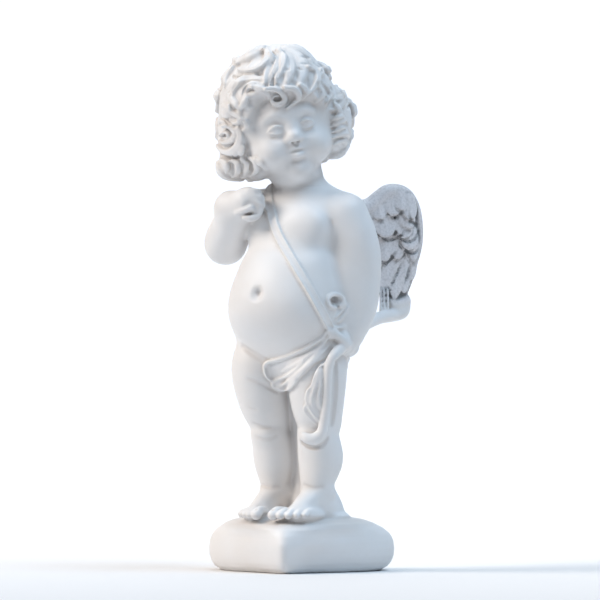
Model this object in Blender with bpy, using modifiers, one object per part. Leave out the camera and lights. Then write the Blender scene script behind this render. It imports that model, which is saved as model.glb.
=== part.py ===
"""Cupid statue: a chubby winged boy with a strap, a loincloth and a bow, standing on a heart-shaped cushion base.

The whole statue is one casting, so it is one closed solid. Every shape below is placed in drawing units: the statue
is DRAWN_HEIGHT units tall. X runs to the boy's left, Y to the boy's back, Z up, with the origin under the middle of
the finished solid's box. The boy faces -Y.
"""

import math

import bmesh
import bpy
import numpy as np
from mathutils import Euler, Matrix, Vector
from mathutils.bvhtree import BVHTree

# ---------------------------------------------------------------- driving sizes
HEIGHT = 0.600                 # m, floor to the top of the hair
DRAWN_HEIGHT = 528.0           # the same height in drawing units
UNIT = HEIGHT / DRAWN_HEIGHT   # m for each drawing unit

DRAWING_TURN = math.radians(32.0)   # the drawing plane is turned this far round Z from the boy's front
HEART_TURN = math.radians(22.0)     # the heart's point is turned this far from the boy's front, to the boy's left

BASE_WIDTH = 191.0
BASE_LENGTH = 166.0
BASE_MIDDLE = (-4.0, -3.0)     # X, Y of the heart's middle
BASE_HEIGHT = 56.0
BELLY_RADIUS = 60.0
CROWN_RADIUS = 63.0
WING_TURN = math.radians(52.0)      # each wing leaves the back this far from the X axis
WING_ROOT = (20.0, 35.0)            # X, Y of the left wing's root
BOW_RADIUS = 4.6
HEAD_LEAN = math.radians(-12.0)      # the head leans to the boy's right
HEAD_YAW = math.radians(11.0)        # and is turned this far from the drawing plane
VOXEL = 0.0021                      # m, size of the cells that fuse the shapes into one casting
TRIANGLES = 9400                    # the casting is thinned to about this many

ACROSS = Vector((math.cos(DRAWING_TURN), math.sin(DRAWING_TURN), 0.0))
TOWARD = Vector((math.sin(DRAWING_TURN), -math.cos(DRAWING_TURN), 0.0))


def clear_scene():
    for ob in list(bpy.data.objects):
        bpy.data.objects.remove(ob, do_unlink=True)
    for block in (bpy.data.meshes, bpy.data.curves, bpy.data.materials):
        for item in list(block):
            block.remove(item)


def drawn(across, up, depth):
    """A point from its place on the drawing plane: across (300 is the middle), up from the floor line, and depth towards the reader."""
    return ACROSS * (across - 300.0) + TOWARD * depth + Vector((0.0, 0.0, up))


# ---------------------------------------------------------------- basic solids, all in drawing units
def add_sphere(bm, matrix, segments, rings):
    """Adds a sphere of radius 1, placed and stretched by matrix."""
    piece = bmesh.new()
    bmesh.ops.create_uvsphere(piece, u_segments=segments, v_segments=rings, radius=1.0, matrix=matrix)
    mesh = bpy.data.meshes.new("sphere")
    piece.to_mesh(mesh)
    piece.free()
    bm.from_mesh(mesh)
    bpy.data.meshes.remove(mesh)


def ball(bm, centre, radii, turn=(0.0, 0.0, 0.0), segments=28, rings=16):
    """An ellipsoid with its own radii, turned by Euler angles in degrees."""
    if not hasattr(radii, "__len__"):
        radii = (radii, radii, radii)
    matrix = (
        Matrix.Translation(Vector(centre))
        @ Euler([math.radians(a) for a in turn]).to_matrix().to_4x4()
        @ Matrix.Diagonal((*radii, 1.0))
    )
    add_sphere(bm, matrix, segments, rings)


def smooth_path(points, count):
    """Points read from a Catmull-Rom curve through the given points (any number of columns)."""
    p = np.asarray(points, float)
    p = np.vstack([2 * p[0] - p[1], p, 2 * p[-1] - p[-2]])
    out = []
    spans = len(p) - 3
    for i in range(count):
        t = i / (count - 1) * spans
        k = min(int(t), spans - 1)
        f = t - k
        a, b, c, d = p[k:k + 4]
        out.append(0.5 * ((2 * b) + (c - a) * f + (2 * a - 5 * b + 4 * c - d) * f * f + (3 * b - a - 3 * c + d) * f ** 3))
    return np.array(out)


def tube(bm, points, radii, count=None, resolution=3):
    """A round-ended tube along a smooth path, made from a curve with a bevel."""
    rows = [tuple(p) + (r,) for p, r in zip(points, radii)]
    path = smooth_path(rows, count or max(6, 5 * len(rows)))
    curve = bpy.data.curves.new("path", "CURVE")
    curve.dimensions = "3D"
    curve.bevel_depth = 1.0
    curve.bevel_resolution = resolution
    curve.use_fill_caps = True
    spline = curve.splines.new("POLY")
    spline.points.add(len(path) - 1)
    for q, row in zip(spline.points, path):
        q.co = (row[0], row[1], row[2], 1.0)
        q.radius = max(float(row[3]), 0.3)
    ob = bpy.data.objects.new("path", curve)
    bpy.context.scene.collection.objects.link(ob)
    bpy.context.view_layer.update()
    mesh = bpy.data.meshes.new_from_object(ob.evaluated_get(bpy.context.evaluated_depsgraph_get()))
    piece = bmesh.new()
    piece.from_mesh(mesh)
    bmesh.ops.remove_doubles(piece, verts=piece.verts, dist=0.001)
    bmesh.ops.recalc_face_normals(piece, faces=piece.faces)
    piece.to_mesh(mesh)
    piece.free()
    bm.from_mesh(mesh)
    bpy.data.objects.remove(ob, do_unlink=True)
    bpy.data.curves.remove(curve)
    bpy.data.meshes.remove(mesh)
    for row in (path[0], path[-1]):
        ball(bm, row[:3], max(float(row[3]), 0.3), segments=12, rings=8)


# ---------------------------------------------------------------- the heart-shaped base
def heart(angle):
    """The heart's outline: x across and y along, its point at -y, each about 1 unit from the middle."""
    x = 16.0 * math.sin(angle) ** 3 / 16.0
    y = (13 * math.cos(angle) - 5 * math.cos(2 * angle) - 2 * math.cos(3 * angle) - math.cos(4 * angle) + 2.6) / 14.5
    return x, y


def base(bm):
    """A puffed heart: its outline drawn in level by level, so that the side is round and the top is a low dome."""
    levels = [(-3.0, 15.0), (1.0, 12.0), (4.0, 6.5), (9.0, 2.8), (15.0, 0.6), (22.0, 0.0), (30.0, 1.2), (37.0, 4.2),
              (43.0, 8.5), (48.0, 15.0), (51.5, 24.0), (54.0, 38.0), (55.5, 56.0), (BASE_HEIGHT, 74.0)]
    count = 72
    half_w, half_l = BASE_WIDTH / 2.0, BASE_LENGTH / 2.0
    cs, sn = math.cos(HEART_TURN), math.sin(HEART_TURN)
    fine = np.array([heart(2 * math.pi * i / 1440) for i in range(1441)]) * (half_w, half_l)
    way = np.concatenate([[0.0], np.cumsum(np.hypot(*np.diff(fine, axis=0).T))])
    even = way[-1] * (np.arange(count) + 0.5) / count
    outline = np.column_stack([np.interp(even, way, fine[:, 0]), np.interp(even, way, fine[:, 1])])
    for _ in range(7):  # rounds the point and the notch
        outline = 0.5 * outline + 0.25 * (np.roll(outline, 1, 0) + np.roll(outline, -1, 0))
    outline[:, 0] /= np.abs(outline[:, 0]).max()
    outline[:, 1] /= np.abs(outline[:, 1]).max()
    rings = []
    for up, inset in levels:
        ring = []
        scale = 1.0 - inset / half_w
        for i in range(count):
            x, y = outline[i, 0] * half_w * scale, outline[i, 1] * half_l * scale
            ring.append(bm.verts.new((BASE_MIDDLE[0] + x * cs - y * sn, BASE_MIDDLE[1] + x * sn + y * cs, up)))
        rings.append(ring)
    for low, high in zip(rings[:-1], rings[1:]):
        for i in range(count):
            j = (i + 1) % count
            bm.faces.new((low[i], low[j], high[j], high[i]))
    bm.faces.new(rings[0])
    bm.faces.new(rings[-1])


# ---------------------------------------------------------------- the boy's body
def legs(bm):
    for side, knee_y, thigh_y in ((-1, -13.0, -26.0), (1, -9.0, -18.0)):
        wide = 0.0 if side < 0 else 1.5
        path = [(side * 30, thigh_y + 2, 222), (side * 31, thigh_y, 201), (side * 29, thigh_y * 0.6 + knee_y * 0.4, 171),
                (side * 27, knee_y, 139), (side * 26, knee_y + 5, 114), (side * 25, -7, 90), (side * 25, -7, 70)]
        tube(bm, path, [29 + wide, 28.5 + wide, 25 + wide, 19.5 + wide, 20.5 + wide, 15.5 + wide, 15], resolution=5)
        # knee cap and heel
        ball(bm, (side * 27, knee_y - 9, 137), (13, 12, 12))
        ball(bm, (side * 25, 2, 66), (15, 16, 14))
        # foot: instep, ball of the foot and five toes; the left foot is turned in a little
        turn = 0.0 if side < 0 else 1.0
        tube(bm, [(side * 25, -6, 78), (side * 25 - 1.5 * turn, -23, 69), (side * 26.3 - 6.0 * turn, -41, 61)], [14, 12.3, 8.8])
        ball(bm, (side * 27 - 4.5 * turn, -28, 58.5), (17.5, 21, 8.5))
        for k in range(5):
            reach = (-60.0, -59.8, -57.0, -52.8, -47.5)[k]
            spread = ((-15.0, -22.8, -29.4, -35.4, -40.6), (4.5, 13.0, 20.6, 27.6, 33.8))[side > 0][k]
            size = (5.6, 4.6, 4.3, 4.1, 3.9)[k]
            tube(bm, [(spread * 0.88 + side * (3.3 - turn), reach + 18, 60.5), (spread, reach + 3, 58.5)], [size, size], count=4)


def torso(bm):
    ball(bm, (0, -19, 271), (BELLY_RADIUS, BELLY_RADIUS, 53))
    ball(bm, (0, -15, 290), (57, 55, 46))
    ball(bm, (0, -9, 312), (53, 49, 44))
    ball(bm, (0, -2, 350), (52, 42, 42))
    ball(bm, (0, -16, 226), (61, 49, 36))
    for side in (-1, 1):
        ball(bm, (side * 19, 8, 208), (24, 23, 27))
        ball(bm, (side * 23, -22, 348), (25, 15, 22))
        tube(bm, [(side * 10, 2, 378), (side * 34, 3, 368), (side * 50, 5, 360)], [14, 17, 20])
    tube(bm, [(0, 4, 372), (-2, 0, 400)], [27, 27], count=4)


def left_arm(bm):
    """The arm hanging by the boy's left side, closed on the bow."""
    tube(bm, [(52, 6, 356), (61, 8, 337), (66.8, 11, 313), (67.3, 11, 291), (66.6, 6, 267), (64.5, 1, 251), (62, -4, 239)],
         [21.5, 20.3, 18.7, 17.6, 17.4, 16.2, 14.4], resolution=5)
    tube(bm, [(50, -2, 346), (58, -3.5, 298), (57, -10, 254)], [10.5, 13, 9.5])
    ball(bm, (59.5, -6.5, 232), (12, 14, 12.5))
    for k in range(4):
        tube(bm, [(63, -20 + 6.0 * k, 238 - 1.5 * k), (66, -21 + 6.0 * k, 229 - 1.5 * k), (59, -22 + 6.0 * k, 221 - 1.5 * k)], [4, 4, 3.6])
    tube(bm, [(55, -16, 240), (52, -23, 231), (56, -25, 223)], [4.6, 4.4, 3.8])


def right_arm(bm):
    """The bent arm, with the fist drawn up to the strap at the shoulder."""
    tube(bm, [(-48, 3, 360), (-60, -1, 356), (-73, -8, 345), (-79, -14, 331)], [22, 24, 22, 20.5], resolution=5)
    tube(bm, [(-78.5, -15.5, 327), (-68, -27.5, 338), (-54, -38.5, 351), (-43, -45.5, 360)], [19.8, 19.2, 17, 14.4], resolution=5)
    ball(bm, drawn(231, 363, 10), (17, 15, 17.5), turn=(0, 0, math.degrees(DRAWING_TURN)))
    ball(bm, drawn(248, 369.5, 27), (14, 13, 14.5), turn=(0, 0, math.degrees(DRAWING_TURN)))
    for a, u, d in ((258.5, 378.5, 31.5), (261.5, 373.0, 33.0), (261.8, 367.0, 33.5), (259.5, 361.0, 33.0)):
        tube(bm, [drawn(a - 8, u + 1, d + 3.5), drawn(a, u, d), drawn(a - 1, u - 2.5, d - 6)], [3.4, 3.9, 3.4])
    tube(bm, [drawn(259, 359, 34), drawn(251, 352.5, 37), drawn(245, 353.5, 36)], [3.8, 3.8, 3.2])
    tube(bm, [drawn(238.5, 358, 33), drawn(251, 362.6, 38.6)], [3.8, 3.2])


def hair_masses():
    """The rounded masses that the hair lies on: crown, back of the head, the fuller sides and the fringe."""
    return ((drawn(278, 464, -12), (CROWN_RADIUS - 1.5, CROWN_RADIUS - 3, CROWN_RADIUS - 1.5)),
            (drawn(285, 446, -16), (65, 50, 46)),
            (drawn(237, 430, -8), (21, 34, 38)),
            (drawn(240, 404, -6), (21, 26, 15)),
            (drawn(256, 401, 4), (14, 24, 12)),
            (drawn(334, 446, -8), (19, 32, 33)),
            (drawn(278, 492, 18), (42, 34, 32)))


def head(bm):
    drawing = math.degrees(DRAWING_TURN)
    for centre, radii in hair_masses():
        ball(bm, centre, radii, turn=(0, 0, drawing), segments=36, rings=22)
    # a calm child's face: brow, full cheeks, chin, small nose and lips, on even proportions
    middle = drawn(284, 438, 0)
    sideways = ACROSS * math.cos(HEAD_YAW) - TOWARD * math.sin(HEAD_YAW)
    facing = TOWARD * math.cos(HEAD_YAW) + ACROSS * math.sin(HEAD_YAW)
    upright = Vector((0.0, 0.0, 1.0))
    right = sideways * math.cos(HEAD_LEAN) - upright * math.sin(HEAD_LEAN)
    top = sideways * math.sin(HEAD_LEAN) + upright * math.cos(HEAD_LEAN)
    turn = (0, 0, drawing + math.degrees(HEAD_YAW))

    def on_face(across, up, out):
        return Vector(middle) + right * across + top * up + facing * out
    ball(bm, on_face(0, 14, 2), (42, 43, 42), turn=turn)
    ball(bm, on_face(0, -6, 8), (39.5, 41, 41), turn=turn)
    ball(bm, on_face(0, 24, 25), (31, 21.5, 20), turn=turn)
    for side in (-1, 1):
        ball(bm, on_face(side * 25, 4, 14), (19.5, 25, 34), turn=turn)
        ball(bm, on_face(side * 20.5, -18, 27), (18, 20, 17), turn=turn)
        ball(bm, on_face(side * 15.4, 5.2, 39.6), (8.6, 8.6, 7.8), turn=turn)
        ball(bm, on_face(side * 5.2, -8, 48), (3.8, 4.4, 3.4), turn=turn)
    ball(bm, on_face(0, -34, 27), (19, 19.5, 15.5), turn=turn)
    ball(bm, on_face(0, -20, 40), (13, 7.5, 8.8), turn=turn)
    tube(bm, [on_face(0, 10, 43.5), on_face(0, 2, 45.8), on_face(0, -6.6, 51)], [3.4, 4.0, 5.0])
    tube(bm, [on_face(-8.6, -19.4, 44.4), on_face(0, -17.4, 48.6), on_face(8.6, -19.4, 44.4)], [1.8, 2.6, 1.8])
    tube(bm, [on_face(-6.8, -22.0, 45), on_face(0, -24.2, 48), on_face(6.8, -22.0, 45)], [1.8, 3.0, 1.8])


# ---------------------------------------------------------------- hair
def hair(bm):
    """Loose locks and ring curls laid over the masses of the hair."""
    skull = bmesh.new()
    for centre, radii in hair_masses():
        ball(skull, centre, radii, turn=(0, 0, math.degrees(DRAWING_TURN)), segments=36, rings=22)
    under = BVHTree.FromBMesh(skull)
    skull.free()
    middle = drawn(284, 456, -4)

    def lock(points, radii, lift=2.0):
        """A lock through points of the drawing plane (across, down from the top line), lying on the hair."""
        tube(bm, [laid(under, a, 571 - u, lift) for a, u in points], radii, resolution=2)

    # the big sweep at the upper left, the strands that fall from the crown to the fringe, and the side locks
    lock([(282, 50), (264, 53), (250, 63), (238, 74), (226, 80)], [5, 7, 8, 7, 4])
    lock([(266, 60), (268, 74), (256, 80), (240, 80), (226, 92)], [5, 7, 6, 5, 4])
    lock([(230, 66), (222, 80), (220, 96), (226, 108)], [5, 7, 7, 4])
    for k in range(5):
        start, end = 274 + 8 * k, 268 + 11 * k
        lock([(start, 48), (start - 3, 64), (start - 2 + 2 * k, 80), (end, 93 - 2 * k)], [4, 5, 5, 3.5])
    lock([(258, 88), (272, 90), (285, 97), (283, 107), (274, 105), (274, 97)], [4, 5, 4.5, 4, 3.5, 3], lift=5)
    lock([(286, 90), (300, 94), (300, 104), (292, 109)], [4, 5, 4, 2.5], lift=5)
    # ring curls down both sides of the face
    rings = [(306, 84, 9), (320, 78, 9), (331, 92, 9), (319, 95, 8), (342, 106, 9), (345, 124, 9), (344, 142, 9),
             (337, 114, 8), (330, 72, 8), (316, 60, 8), (336, 155, 8), (244, 98, 10), (228, 106, 9), (237, 118, 9),
             (224, 130, 10), (232, 146, 11), (227, 168, 10), (243, 170, 9), (250, 156, 7), (222, 92, 8)]
    for number, (a, u, r) in enumerate(rings):
        start = number * 1.7
        pts = [(a + r * (0.75 - 0.09 * k) * math.cos(start + 1.15 * k), u + r * (0.75 - 0.09 * k) * math.sin(start + 1.15 * k)) for k in range(6)]
        lock(pts, [3.2, 3.8, 4.0, 3.8, 3.4, 3.0], lift=1.5)
    # plainer curls round the back
    golden = math.pi * (3.0 - math.sqrt(5.0))
    total = 74
    for i in range(total):
        z = 1.0 - 1.78 * (i + 0.5) / total
        around = golden * i
        flat = math.sqrt(max(1.0 - z * z, 0.0))
        a, depth = flat * math.cos(around), flat * math.sin(around)
        if depth > -0.12:
            continue
        n = (ACROSS * a + TOWARD * depth + Vector((0, 0, z))).normalized()
        e1 = n.cross(Vector((0.3, 0.2, 1.0))).normalized()
        e2 = n.cross(e1)
        pts, rad = [], []
        for k in range(7):
            w, size = i * 1.3 + 1.05 * k, 10.5 - 1.0 * k
            start = middle + n * 140 + e1 * size * math.cos(w) + e2 * size * math.sin(w)
            hit, normal, _, _ = under.ray_cast(start, -n, 200.0)
            if hit is not None:
                pts.append(hit + normal * (1.0 + 0.4 * k))
                rad.append(4.2)
        if len(pts) > 3:
            tube(bm, pts, rad, resolution=2)


# ---------------------------------------------------------------- wings
def wings(bm):
    for side in (1, -1):
        out = Vector((side * math.cos(WING_TURN), math.sin(WING_TURN), 0.0))
        face = Vector((side * math.sin(WING_TURN), -math.cos(WING_TURN), 0.0))
        root = Vector((side * WING_ROOT[0], WING_ROOT[1], 0.0))

        def at(u, up, lift=0.0):
            return root + out * u + face * lift + Vector((0, 0, up))

        def feather(u0, z0, u1, z1, half, thick=3.4, lift=0.0):
            """A long flat feather from its root to its tip, in the wing's own plane."""
            a, b = at(u0, z0, lift), at(u1, z1, lift)
            along = (b - a).normalized()
            frame = Matrix((along, face, along.cross(face))).transposed().to_4x4()
            matrix = Matrix.Translation((a + b) / 2) @ frame @ Matrix.Diagonal(((b - a).length / 2, thick, half, 1.0))
            add_sphere(bm, matrix, 16, 12)

        # the flat web that carries the feathers
        outline = smooth_path([(0, 330), (14, 352), (36, 370), (56, 380), (72, 378), (84, 366), (90, 346), (89, 322),
                               (82, 296), (75, 268), (62, 257), (46, 256), (30, 268), (12, 288), (0, 310)], 48)
        curve = bpy.data.curves.new("web", "CURVE")
        curve.dimensions = "2D"
        curve.fill_mode = "BOTH"
        curve.extrude = 1.9
        spline = curve.splines.new("POLY")
        spline.points.add(len(outline) - 1)
        for q, (u, up) in zip(spline.points, outline):
            q.co = (u, up, 0.0, 1.0)
        spline.use_cyclic_u = True
        ob = bpy.data.objects.new("web", curve)
        bpy.context.scene.collection.objects.link(ob)
        bpy.context.view_layer.update()
        mesh = bpy.data.meshes.new_from_object(ob.evaluated_get(bpy.context.evaluated_depsgraph_get()))
        up_axis = Vector((0, 0, 1))
        mesh.transform(Matrix.Translation(root) @ Matrix((out, up_axis, out.cross(up_axis))).transposed().to_4x4())
        piece = bmesh.new()
        piece.from_mesh(mesh)
        bmesh.ops.remove_doubles(piece, verts=piece.verts, dist=0.001)
        piece.to_mesh(mesh)
        piece.free()
        bm.from_mesh(mesh)
        bpy.data.objects.remove(ob, do_unlink=True)
        bpy.data.curves.remove(curve)
        bpy.data.meshes.remove(mesh)

        # thick leading edge, from the shoulder blade over the top and down the outside
        tube(bm, [at(-6, 318), at(14, 342), at(36, 364), at(58, 378), at(77, 372), at(87, 352), at(88, 330)],
             [13, 12, 10, 8.5, 8, 7, 5])
        # long feathers, fanned from the outer edge back to the body
        long_ones = [(90, 350, 77, 268, 8.5), (80, 348, 70, 266, 9), (70, 346, 60, 266, 9.5), (58, 342, 49, 268, 9.5),
                     (46, 338, 37, 274, 9.5), (32, 332, 25, 284, 9), (18, 326, 14, 296, 8.5)]
        for k, (u0, z0, u1, z1, half) in enumerate(long_ones):
            for lift in (1.6 + 1.4 * (k % 2), -1.6 - 1.4 * (k % 2)):
                feather(u0, z0, u1, z1, half, 3.0, lift=lift)
        # two rows of short round feathers above them
        for row, (top, drop, count) in enumerate(((352, 26, 6), (336, 28, 6))):
            for k in range(count):
                u = 14 + 13.5 * k - 3 * row
                z = top - 20 + 0.25 * u - 7 * row
                for lift in (4.6 - row, row - 4.6):
                    feather(u + 3, z + 12, u - 1, z - drop + 8, 8.2, 3.2, lift=lift)


# ---------------------------------------------------------------- strap, cloth and bow, laid on the body
def laid(body, across, up, lift):
    """The point of the body under a place on the drawing plane, raised by lift."""
    start = drawn(across, up, 400.0)
    hit, normal, _, _ = body.ray_cast(start, -TOWARD, 800.0)
    if hit is None:
        near, normal, _, _ = body.find_nearest(drawn(across, up, 30.0))
        hit = near
    return hit + normal * lift


def strap(bm, body):
    front = [(268, 383), (270, 370), (275, 348), (283, 326), (297, 301), (311, 277), (322, 257), (331, 241)]
    pts = [laid(body, a, u, 1.0) for a, u in front]
    # over the right shoulder and down the back to the left hip
    for x, y, z in ((-28, 10, 392), (-26, 38, 368), (-14, 60, 335), (6, 70, 300), (32, 60, 265), (52, 30, 245)):
        near, normal, _, _ = body.find_nearest(Vector((x, y, z)))
        pts.insert(0, near + normal * 1.0)
    for shift in (-2.6, 0.0, 2.6):
        moved = []
        for i, p in enumerate(pts):
            a, b = pts[max(i - 1, 0)], pts[min(i + 1, len(pts) - 1)]
            near, normal, _, _ = body.find_nearest(p)
            sideways = (b - a).normalized().cross(normal).normalized()
            moved.append(p + sideways * shift)
        tube(bm, moved, [2.4] * len(moved), count=50, resolution=2)


def cloth(bm, body):
    # folds fanned from the knot at the left hip across the lap
    knot = (331, 243)
    ends = [(266, 209), (268, 201), (273, 192), (277, 186), (286, 180), (298, 186), (309, 196)]
    for k, (a, u) in enumerate(ends):
        pts, radii = [], []
        for i in range(6):
            t = i / 5.0
            sag = 5.0 * math.sin(math.pi * t) * (1 if k < 3 else 0.4)
            pts.append(laid(body, knot[0] + (a - knot[0]) * t, knot[1] + (u - knot[1]) * t - sag, 0.6))
            radii.append(3.2 + 2.6 * t - (2.2 if i == 5 else 0.0))
        tube(bm, pts, radii, resolution=2)
    # ring of cloth and its folds at the hip
    ring = [laid(body, 336 + 8 * math.cos(w), 272 + 8 * math.sin(w), 1.5) for w in np.linspace(0, 2 * math.pi, 9)]
    tube(bm, ring, [3.0] * 9, resolution=2)
    for k in range(3):
        tube(bm, [laid(body, 332 + 6 * k, 265 - k, 1.0), laid(body, 333 + 5 * k, 252, 1.5), laid(body, 334 + 4 * k, 240, 1.0)], [3.2, 3.4, 3.0], resolution=2)
    # the loose end hanging beside the bow
    for k in range(4):
        a = 321 - 4.5 * k
        low = (152, 150, 158, 166)[k]
        tube(bm, [laid(body, a + 4, 212, 1.5), laid(body, a, 190, 3.0), laid(body, a - 1, 172, 3.0), laid(body, a + 1, low, 2.0)], [4.2, 4.4, 4.4, 3.0], resolution=2)
    # the cloth goes on round the left hip and across the seat
    for k in range(4):
        pts = []
        for i in range(7):
            turn = math.radians(-10 + 31 * i)
            x, y = 62 * math.cos(turn), 4 + 48 * math.sin(turn)
            near, normal, _, _ = body.find_nearest(Vector((x, y, 240 - 9 * k - 2.0 * i)))
            pts.append(near - normal * (2.2 if i < 3 else 0.4))
        tube(bm, pts, [3.0, 3.4, 4.0, 4.4, 4.4, 4.0, 2.6], resolution=2)


def bow(bm):
    grip = [drawn(403, 273, -48), drawn(403, 261, -47), drawn(393, 255, -38), drawn(378, 252, -8), drawn(362, 243, 20),
            drawn(348, 231, 44), drawn(338, 219, 58), drawn(330, 205, 64), drawn(328, 188, 61), drawn(326, 165, 55),
            drawn(323, 146, 50), drawn(318, 137, 50), drawn(308, 134, 50), drawn(303, 137, 49)]
    radii = [4.6, 6.4, 7.0, 6.6, 5.6, 5.6, 5.2, 5.0, BOW_RADIUS, BOW_RADIUS, 4.8, 5.8, 5.4, 3.6]
    tube(bm, grip, radii, count=60)


def support(bm):
    """The low stump behind the heels, cast with the base."""
    tube(bm, [(0, 14, 50), (2, 12, 78), (4, 8, 110), (3, 0, 150), (1, -6, 185), (0, -8, 205)], [26, 19, 13, 10, 11, 14], resolution=4)
    ball(bm, (26, 13, 56), (21, 14, 16))


# ---------------------------------------------------------------- the casting
def build():
    clear_scene()
    parts = bpy.data.collections.new("cupid_statue")
    helpers = bpy.data.collections.new("cutters")
    bpy.context.scene.collection.children.link(parts)
    bpy.context.scene.collection.children.link(helpers)

    bm = bmesh.new()
    base(bm)
    legs(bm)
    support(bm)
    torso(bm)
    body = BVHTree.FromBMesh(bm)
    left_arm(bm)
    right_arm(bm)
    head(bm)
    hair(bm)
    wings(bm)
    strap(bm, body)
    cloth(bm, body)
    bow(bm)

    bmesh.ops.recalc_face_normals(bm, faces=bm.faces)
    bmesh.ops.scale(bm, vec=(UNIT, UNIT, UNIT), verts=bm.verts)
    mesh = bpy.data.meshes.new("cupid_statue")
    bm.to_mesh(mesh)
    bm.free()

    statue = bpy.data.objects.new("cupid_statue", mesh)
    parts.objects.link(statue)
    plaster = bpy.data.materials.new("white_cast")
    plaster.use_nodes = True
    shader = plaster.node_tree.nodes["Principled BSDF"]
    shader.inputs["Base Color"].default_value = (0.80, 0.79, 0.78, 1.0)
    shader.inputs["Roughness"].default_value = 0.48
    shader.inputs["Metallic"].default_value = 0.0
    mesh.materials.append(plaster)

    # the shapes become one skin, its creases soften, and it is thinned
    fuse = statue.modifiers.new("fuse", "REMESH")
    fuse.mode = "VOXEL"
    fuse.voxel_size = VOXEL
    fuse.adaptivity = 0.0
    soften = statue.modifiers.new("soften", "SMOOTH")
    soften.factor = 0.5
    soften.iterations = 2
    bpy.context.view_layer.update()
    skin = bpy.data.meshes.new_from_object(statue.evaluated_get(bpy.context.evaluated_depsgraph_get()))
    statue.modifiers.clear()
    statue.data = skin
    skin.name = "cupid_statue"

    # stand it with its box's middle over the origin and its top at HEIGHT; the floor cut is at zero
    co = np.empty(len(skin.vertices) * 3, "f")
    skin.vertices.foreach_get("co", co)
    co = co.reshape(-1, 3)
    middle = (co.min(0) + co.max(0)) / 2
    co[:, 0] -= middle[0]
    co[:, 1] -= middle[1]
    co[:, 2] *= HEIGHT / co[:, 2].max()
    statue["box_middle"] = [float(middle[0]), float(middle[1])]
    skin.vertices.foreach_set("co", co.ravel())
    skin.update()

    thin = statue.modifiers.new("thin", "DECIMATE")
    thin.decimate_type = "COLLAPSE"
    thin.ratio = TRIANGLES / (2.0 * len(skin.polygons))
    thin.use_collapse_triangulate = True

    bpy.ops.mesh.primitive_cube_add(size=1.0, location=(0.0, 0.0, -0.05))
    floor = bpy.context.object
    floor.name = "floor_cutter"
    floor.scale = (1.0, 1.0, 0.1)
    for home in list(floor.users_collection):
        home.objects.unlink(floor)
    helpers.objects.link(floor)
    floor.hide_render = True
    floor.display_type = "WIRE"
    cut = statue.modifiers.new("flat_underside", "BOOLEAN")
    cut.operation = "DIFFERENCE"
    cut.object = floor
    cut.solver = "EXACT"
    bpy.context.view_layer.update()
    return statue


build()
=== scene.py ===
import math
import time

import bpy
import numpy as np
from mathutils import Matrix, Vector


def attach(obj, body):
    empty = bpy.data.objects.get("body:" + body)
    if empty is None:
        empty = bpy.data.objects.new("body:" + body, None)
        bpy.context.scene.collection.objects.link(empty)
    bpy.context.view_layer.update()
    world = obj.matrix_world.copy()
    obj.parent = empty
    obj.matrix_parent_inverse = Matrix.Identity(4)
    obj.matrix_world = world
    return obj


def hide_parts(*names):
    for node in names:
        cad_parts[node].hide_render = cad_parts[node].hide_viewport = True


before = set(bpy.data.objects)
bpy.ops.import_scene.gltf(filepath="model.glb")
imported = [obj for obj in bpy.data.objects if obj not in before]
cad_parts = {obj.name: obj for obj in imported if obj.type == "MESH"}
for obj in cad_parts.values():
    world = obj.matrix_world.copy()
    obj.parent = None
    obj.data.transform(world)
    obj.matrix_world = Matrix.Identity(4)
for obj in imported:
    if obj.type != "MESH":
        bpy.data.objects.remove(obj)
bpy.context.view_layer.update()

START = time.time()
for name in ("Cube", "Light", "Camera"):
    left_over = bpy.data.objects.get(name)
    if left_over is not None:
        bpy.data.objects.remove(left_over)

# ---------------------------------------------------------------- drawing units, as in the CAD
HEIGHT = 0.600
UNIT = HEIGHT / 528.0
TURN = math.radians(32.0)
HEART_TURN = math.radians(22.0)
WING_TURN = math.radians(52.0)
BOX_MIDDLE = (-0.013878 / UNIT, 0.017951 / UNIT)
ACROSS = np.array([math.cos(TURN), math.sin(TURN), 0.0])
TOWARD = np.array([math.sin(TURN), -math.cos(TURN), 0.0])
UP = np.array([0.0, 0.0, 1.0])
CELL = 1.0


def drawn(across, down, depth):
    """A point from its place on the drawing plane: across (300 is the middle), down (571 is the floor) and depth towards the reader."""
    return ACROSS * (across - 300.0) + TOWARD * depth + UP * (571.0 - down)


def smooth_path(points, count):
    """Rows read from a Catmull-Rom curve through the given rows."""
    p = np.asarray(points, float)
    p = np.vstack([2 * p[0] - p[1], p, 2 * p[-1] - p[-2]])
    spans = len(p) - 3
    t = np.linspace(0, spans, count)
    k = np.minimum(t.astype(int), spans - 1)
    f = (t - k)[:, None]
    a, b, c, d = p[k], p[k + 1], p[k + 2], p[k + 3]
    return 0.5 * ((2 * b) + (c - a) * f + (2 * a - 5 * b + 4 * c - d) * f * f + (3 * b - a - 3 * c + d) * f ** 3)


def smooth_min(a, b, k):
    if k <= 0:
        return np.minimum(a, b)
    h = np.maximum(k - np.abs(a - b), 0.0) / k
    return np.minimum(a, b) - h * h * k * 0.25


def smooth_max(a, b, k):
    return -smooth_min(-a, -b, k)


def step(x, lo, hi):
    t = np.clip((x - lo) / (hi - lo), 0.0, 1.0)
    return t * t * (3 - 2 * t)


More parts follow.
